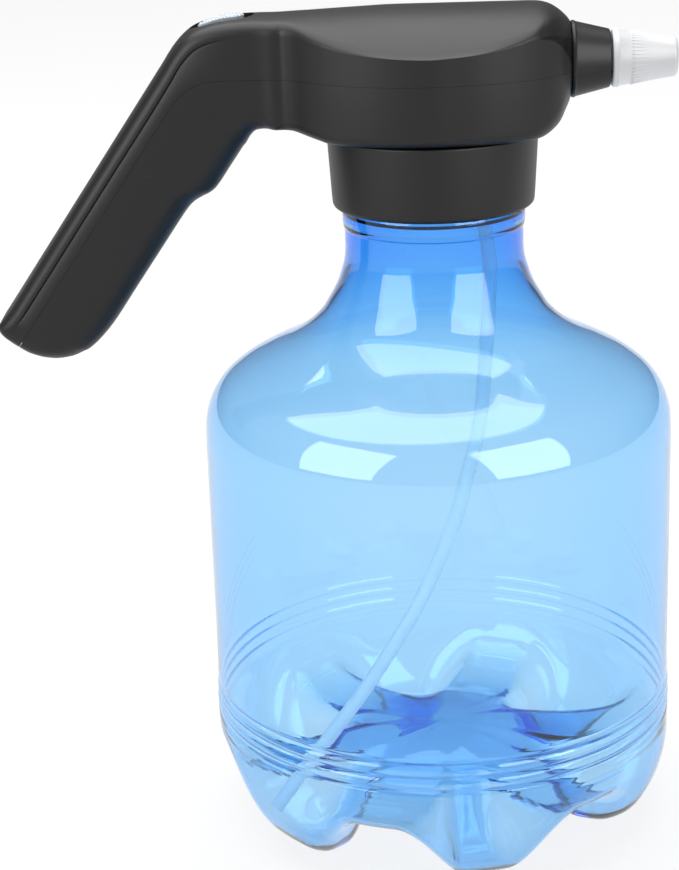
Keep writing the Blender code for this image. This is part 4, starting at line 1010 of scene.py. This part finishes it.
# %% Lip inside the joint
LIP_OUTER, LIP_INNER, LIP_HALF_HEIGHT = 0.0001, 0.0009, 0.0016
lip_rows = station_rows[12:-8]
lip = lofted("joint_lip", [head_section(row, HEAD_WALL + LIP_OUTER) for row in lip_rows], CHARCOAL)
lip_core = lofted("lip_core", [head_section(row, HEAD_WALL + LIP_INNER) for row in lip_rows[3:-3]], CHARCOAL)
boolean(lip, lip_core)
lip_edge = parting_line(LIP_HALF_HEIGHT) + list(reversed(parting_line(-LIP_HALF_HEIGHT)))
boolean(lip, shell_side("lip_side", lip_edge), "INTERSECT")
boolean(lip, rod_cutter("sleeve_room", 0.0125, (0.0300, 0, NOZZLE_Z), (0.0480, 0, NOZZLE_Z)))
painted_only(lip.data, CHARCOAL)
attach(lip, "head")
print("lip faces:", len(lip.data.polygons))

# %% [markdown]
# ## The outlet sleeve
# A short black cone carries the nozzle. A thin bead runs round its foot, where it comes through the
# shell. It is turned about the nozzle's axis.

# %% Sleeve
sleeve_outline = [
    (0.0062, 0.0546), (0.0083, 0.0546), (0.0088, 0.0543), (0.0090, 0.0537), (0.0113, 0.0443),
    (0.0115, 0.0438), (0.0117, 0.0436), (0.0117, 0.0430), (0.0115, 0.0427), (0.0087, 0.0427),
    (0.0087, 0.0398), (0.0108, 0.0398), (0.0108, 0.0376), (0.0062, 0.0376),
]
sleeve = turned("outlet_cone", sleeve_outline, CHARCOAL, 96, (0, NOZZLE_Z), True)
finish_piece(sleeve, "head", ["outlet_sleeve"])

# %% [markdown]
# ## The nozzle cap
# The white cap is turned by hand to open and shut the jet, so fine ribs run along it. They start
# just in front of its plain rim and die out before half its length. One rib is a long thin wedge,
# and Geometry Nodes set it round the cap as often as needed.

# %% Cap body
CAP_BACK_X, CAP_TIP_X, CAP_BACK_R, CAP_TIP_R = 0.0551, 0.0750, 0.00885, 0.0061
CAP_SLOPE = (CAP_BACK_R - CAP_TIP_R) / (CAP_TIP_X - 0.0018 - CAP_BACK_X - 0.0006)
tip_round = [
    (CAP_TIP_R - 0.0014 + 0.0014 * math.sin(a), CAP_TIP_X - 0.0016 + 0.0016 * math.cos(a)) for a in ARC
]
cap_outline = [(0.0005, CAP_TIP_X - 0.0002), (0.0012, CAP_TIP_X)] + tip_round + [
    (CAP_BACK_R - 0.0003, CAP_BACK_X + 0.0021), (CAP_BACK_R, CAP_BACK_X + 0.0018),
    (CAP_BACK_R, CAP_BACK_X + 0.0004), (CAP_BACK_R - 0.0004, CAP_BACK_X), (0.0057, CAP_BACK_X),
    (0.0057, 0.0661), (0.0059, 0.0661), (0.0059, 0.0677), (0.0046, 0.0677), (0.0046, 0.0706),
    (0.0030, 0.0708), (0.0030, 0.0731), (0.0005, 0.0737),
]
cap = turned("nozzle_cap_body", cap_outline, NOZZLE_WHITE, 120, (0, NOZZLE_Z), True)

# %% [markdown]
# The cap has fine ribs all round for the fingers. They are all alike, so one wedge is instanced
# round the axis and leans with the cap's slope.

# %% Rib tree
RIBS, ribs_in, ribs_out = new_group(
    "ribs round an axis",
    [
        ("Geometry", "NodeSocketGeometry", None), ("Count", "NodeSocketInt", 40),
        ("Radius", "NodeSocketFloat", 0.0088), ("Length", "NodeSocketFloat", 0.008),
        ("Width", "NodeSocketFloat", 0.0006), ("Height", "NodeSocketFloat", 0.0006),
        ("Slope", "NodeSocketFloat", 0.14), ("Start X", "NodeSocketFloat", 0.0),
        ("Centre Z", "NodeSocketFloat", 0.0), ("Plastic", "NodeSocketMaterial", None),
    ],
    [("Geometry", "NodeSocketGeometry")],
    "GeometryNodeTree",
)
R = RIBS
ring_line = add(R, "GeometryNodeMeshCircle", fill_type="NONE")
join(R, ribs_in.outputs["Count"], ring_line.inputs["Vertices"])
join(R, ribs_in.outputs["Radius"], ring_line.inputs["Radius"])
wedge = add(R, "GeometryNodeMeshCone", "one rib", fill_type="NGON")
wedge.inputs["Vertices"].default_value = 10
wedge.inputs["Side Segments"].default_value = 6
join(R, maths(R, "MULTIPLY", ribs_in.outputs["Width"], 0.12), wedge.inputs["Radius Top"])
join(R, maths(R, "MULTIPLY", ribs_in.outputs["Width"], 0.5), wedge.inputs["Radius Bottom"])
join(R, ribs_in.outputs["Length"], wedge.inputs["Depth"])
flat_wedge = add(R, "GeometryNodeTransform")
join(R, wedge.outputs["Mesh"], flat_wedge.inputs["Geometry"])
lean = add(R, "ShaderNodeCombineXYZ")
join(R, maths(R, "MULTIPLY", maths(R, "ARCTANGENT", ribs_in.outputs["Slope"]), -1.0), lean.inputs[1])
join(R, lean.outputs[0], flat_wedge.inputs["Rotation"])
full_turns = maths(R, "MULTIPLY", add(R, "GeometryNodeInputIndex").outputs[0], 2 * math.pi)
each_angle = maths(R, "DIVIDE", full_turns, ribs_in.outputs["Count"])
facing = add(R, "ShaderNodeCombineXYZ")
join(R, each_angle, facing.inputs[2])
spread = add(R, "GeometryNodeInstanceOnPoints")
join(R, ring_line.outputs["Mesh"], spread.inputs["Points"])
join(R, flat_wedge.outputs["Geometry"], spread.inputs["Instance"])
join(R, facing.outputs[0], spread.inputs["Rotation"])
laid = add(R, "GeometryNodeTransform", "lay the ring along X")
join(R, spread.outputs["Instances"], laid.inputs["Geometry"])
laid.inputs["Rotation"].default_value = (0, math.radians(90), 0)
shift = add(R, "ShaderNodeCombineXYZ")
join(R, ribs_in.outputs["Start X"], shift.inputs[0])
join(R, ribs_in.outputs["Centre Z"], shift.inputs[2])
join(R, shift.outputs[0], laid.inputs["Translation"])
ribs_real = add(R, "GeometryNodeRealizeInstances")
join(R, laid.outputs["Geometry"], ribs_real.inputs["Geometry"])
ribs_smooth = add(R, "GeometryNodeSetShadeSmooth")
join(R, ribs_real.outputs["Geometry"], ribs_smooth.inputs["Geometry"])
ribs_paint = add(R, "GeometryNodeSetMaterial")
join(R, ribs_smooth.outputs["Geometry"], ribs_paint.inputs["Geometry"])
join(R, ribs_in.outputs["Plastic"], ribs_paint.inputs["Material"])
join(R, ribs_paint.outputs["Geometry"], ribs_out.inputs["Geometry"])
print("rib tree nodes:", len(R.nodes))

# %% [markdown]
# The ribs stand a little into the cap's wall, so no gap shows. They stay a piece of their own,
# and the cap gets the thread that grips the sleeve.

# %% Put the ribs on the cap
RIB_COUNT, RIB_LENGTH, RIB_START = 44, 0.0076, CAP_BACK_X + 0.0018
rib_holder = placed("cap_ribs", bpy.data.meshes.new("cap_ribs"))
rib_middle = RIB_START + RIB_LENGTH / 2
run_tree(rib_holder, RIBS, {
    "Count": RIB_COUNT, "Radius": CAP_BACK_R - CAP_SLOPE * (rib_middle - CAP_BACK_X) - 0.00005,
    "Length": RIB_LENGTH, "Width": 0.00062, "Slope": CAP_SLOPE, "Start X": AXIS_X + rib_middle,
    "Centre Z": NOZZLE_Z, "Plastic": NOZZLE_WHITE,
})
print("cap ribs:", RIB_COUNT, "faces", len(rib_holder.data.polygons))
CAP_PITCH, CAP_THREAD_TURNS = 0.0020, 2.2
CAP_THREAD_START = 0.0585 + CAP_PITCH / 2
cap_thread = thread("cap_thread", 0.0061, 0.0048, 0.0008, 0.0003, CAP_PITCH, CAP_THREAD_TURNS,
                    CAP_THREAD_START, NOZZLE_WHITE, 48, True, NOZZLE_Z)
boolean(cap, cap_thread, "UNION")
smoothed(cap.data, 38)
finish_piece(cap, "nozzle", ["nozzle_cap"])
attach(rib_holder, "nozzle")

# %% [markdown]
# ## The thumb button
# A milky oval button sits in a well at the top of the handle. Its crown follows the handle's slope
# and has ridges across it for the thumb.

# %% Button
CROWN_R, CROWN_TOP = 0.0300, 0.2648
crown_x = BUTTON_X - CROWN_R * math.sin(WELL_TILT)
crown_z = CROWN_TOP - CROWN_R * math.cos(WELL_TILT)
button = oval("thumb_button_cap", BUTTON_LENGTH, BUTTON_WIDTH, -0.0050, 0.0040, paint=BUTTON_WHITE)
boolean(button, rod_cutter("button_crown", CROWN_R, (crown_x, -0.02, crown_z), (crown_x, 0.02, crown_z), 360),
        "INTERSECT")
flange = oval("button_flange", BUTTON_LENGTH + 0.0028, BUTTON_WIDTH + 0.0026, -0.0052, -0.0042,
              paint=BUTTON_WHITE)
boolean(button, flange, "UNION")
RIDGES = 13
for i in range(RIDGES):
    x = BUTTON_X + 0.0128 * (i / (RIDGES - 1) - 0.5)
    z = crown_z + math.sqrt(CROWN_R**2 - (x - crown_x) ** 2)
    reach = 0.0045 * math.sqrt(max(0.1, 1 - ((x - BUTTON_X) / (BUTTON_LENGTH / 2)) ** 2))
    ridge = rod_cutter(f"ridge_{i}", 0.00034, (x, -reach, z), (x, reach, z), 12)
    boolean(button, ridge, "UNION")
painted_only(button.data, BUTTON_WHITE)
smoothed(button.data, 30)
finish_piece(button, "button", ["thumb_button"])

# %% [markdown]
# ## Finishes of the inner pieces
# The pump, the motor, the battery and the boards have the right shape already in the CAD model, so
# they only need their finish.

# %% Inner finishes
FINISH = {
    "inlet_fitting": FITTING_WHITE, "outlet_stem": FITTING_WHITE, "swirl_core": FITTING_WHITE,
    "idler_gear": FITTING_WHITE, "motor_end_cap": FITTING_WHITE, "pump_body": PUMP_GREY,
    "pump_cover": PUMP_GREY, "switch_body": PUMP_GREY, "switch_plunger": PUMP_GREY,
    "inlet_hose": SILICONE, "outlet_hose": SILICONE, "neck_gasket": RUBBER, "nozzle_o_ring": RUBBER,
    "shaft_seal": RUBBER, "charge_plug": RUBBER, "neck_flange": CHARCOAL, "idler_pin": STEEL,
    "motor_can": STEEL, "armature": STEEL, "motor_shaft": STEEL, "button_spring": STEEL,
    "cell_tab_top": STEEL, "cell_tab_bottom": STEEL, "charge_socket": STEEL, "pump_screw_1": STEEL,
    "pump_screw_2": STEEL, "motor_bush": BRASS, "drive_gear": BRASS, "switch_board": BOARD,
    "charge_board": BOARD, "battery_cell": CELL_WRAP, "wire_cell_plus": RED_WIRE,
    "wire_charge": RED_WIRE, "wire_motor_plus": RED_WIRE, "wire_cell_minus": BLACK_WIRE,
    "wire_motor_minus": BLACK_WIRE,
}
for i in range(1, 5):
    FINISH[f"housing_screw_{i}"] = STEEL
for node, paint in FINISH.items():
    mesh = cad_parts[node].data
    painted_only(mesh, paint)
print("inner pieces finished:", len(FINISH))

# %% [markdown]
# ## Floor and light
# The object stands on a pale sweep under soft studio light: a large panel overhead, a softbox on
# each side of the camera, and a pale world that fills the shadows.

# %% Studio
floor_mesh = bpy.data.meshes.new("floor")
floor_mesh.from_pydata([(-6, -6, 0), (6, -6, 0), (6, 6, 0), (-6, 6, 0)], [], [(0, 1, 2, 3)])
floor = placed("floor", floor_mesh)
floor_mesh.transform(Matrix.Translation((0, 0, bottle_low.z - 0.0002)))
pale = bpy.data.materials.new("pale floor")
pale.use_nodes = True
pale_shader = pale.node_tree.nodes["Principled BSDF"]
pale_shader.inputs["Base Color"].default_value = (0.14, 0.14, 0.14, 1)
pale_shader.inputs["Roughness"].default_value = 0.9
pale_shader.inputs["Specular IOR Level"].default_value = 0.0
pale_shader.inputs["Emission Color"].default_value = (1, 1, 1, 1)
pale_shader.inputs["Emission Strength"].default_value = 0.86
floor_mesh.materials.append(pale)

world = bpy.data.worlds.new("studio")
world.use_nodes = True
sky = world.node_tree
kind_of_ray = add(sky, "ShaderNodeLightPath")
dim = mapped(sky, kind_of_ray.outputs["Is Glossy Ray"], 0, 1, 1.0, 0.24)
dimmer = mapped(sky, kind_of_ray.outputs["Is Diffuse Ray"], 0, 1, 0.0, 0.62)
strength = add(sky, "ShaderNodeMath", operation="SUBTRACT")
join(sky, dim, strength.inputs[0])
join(sky, dimmer, strength.inputs[1])
sky.nodes["Background"].inputs["Color"].default_value = (1, 1, 1, 1)
join(sky, strength.outputs[0], sky.nodes["Background"].inputs["Strength"])
bpy.context.scene.world = world


def softbox(name, place, target, width, height, power, colour=(1, 1, 1)):
    data = bpy.data.lights.new(name, "AREA")
    data.shape = "RECTANGLE"
    data.size, data.size_y = width, height
    data.energy = power
    data.color = colour
    made = placed(name, data)
    made.location = place
    made.rotation_euler = (Vector(target) - Vector(place)).to_track_quat("-Z", "Y").to_euler()
    return made


middle = from_axis(0, 0, 0.15)
panel = softbox("overhead", (AXIS_X - 0.2, 0.3, 1.6), middle, 2.0, 2.0, 36.0)
panel.data.shape = "DISK"
for name, x, width in (("left box", -0.92, 0.95), ("right box", 0.80, 0.90)):
    box = softbox(name, (AXIS_X + x, -0.80, 0.72), middle, width, 1.10, 16.0)
    box.visible_diffuse = False
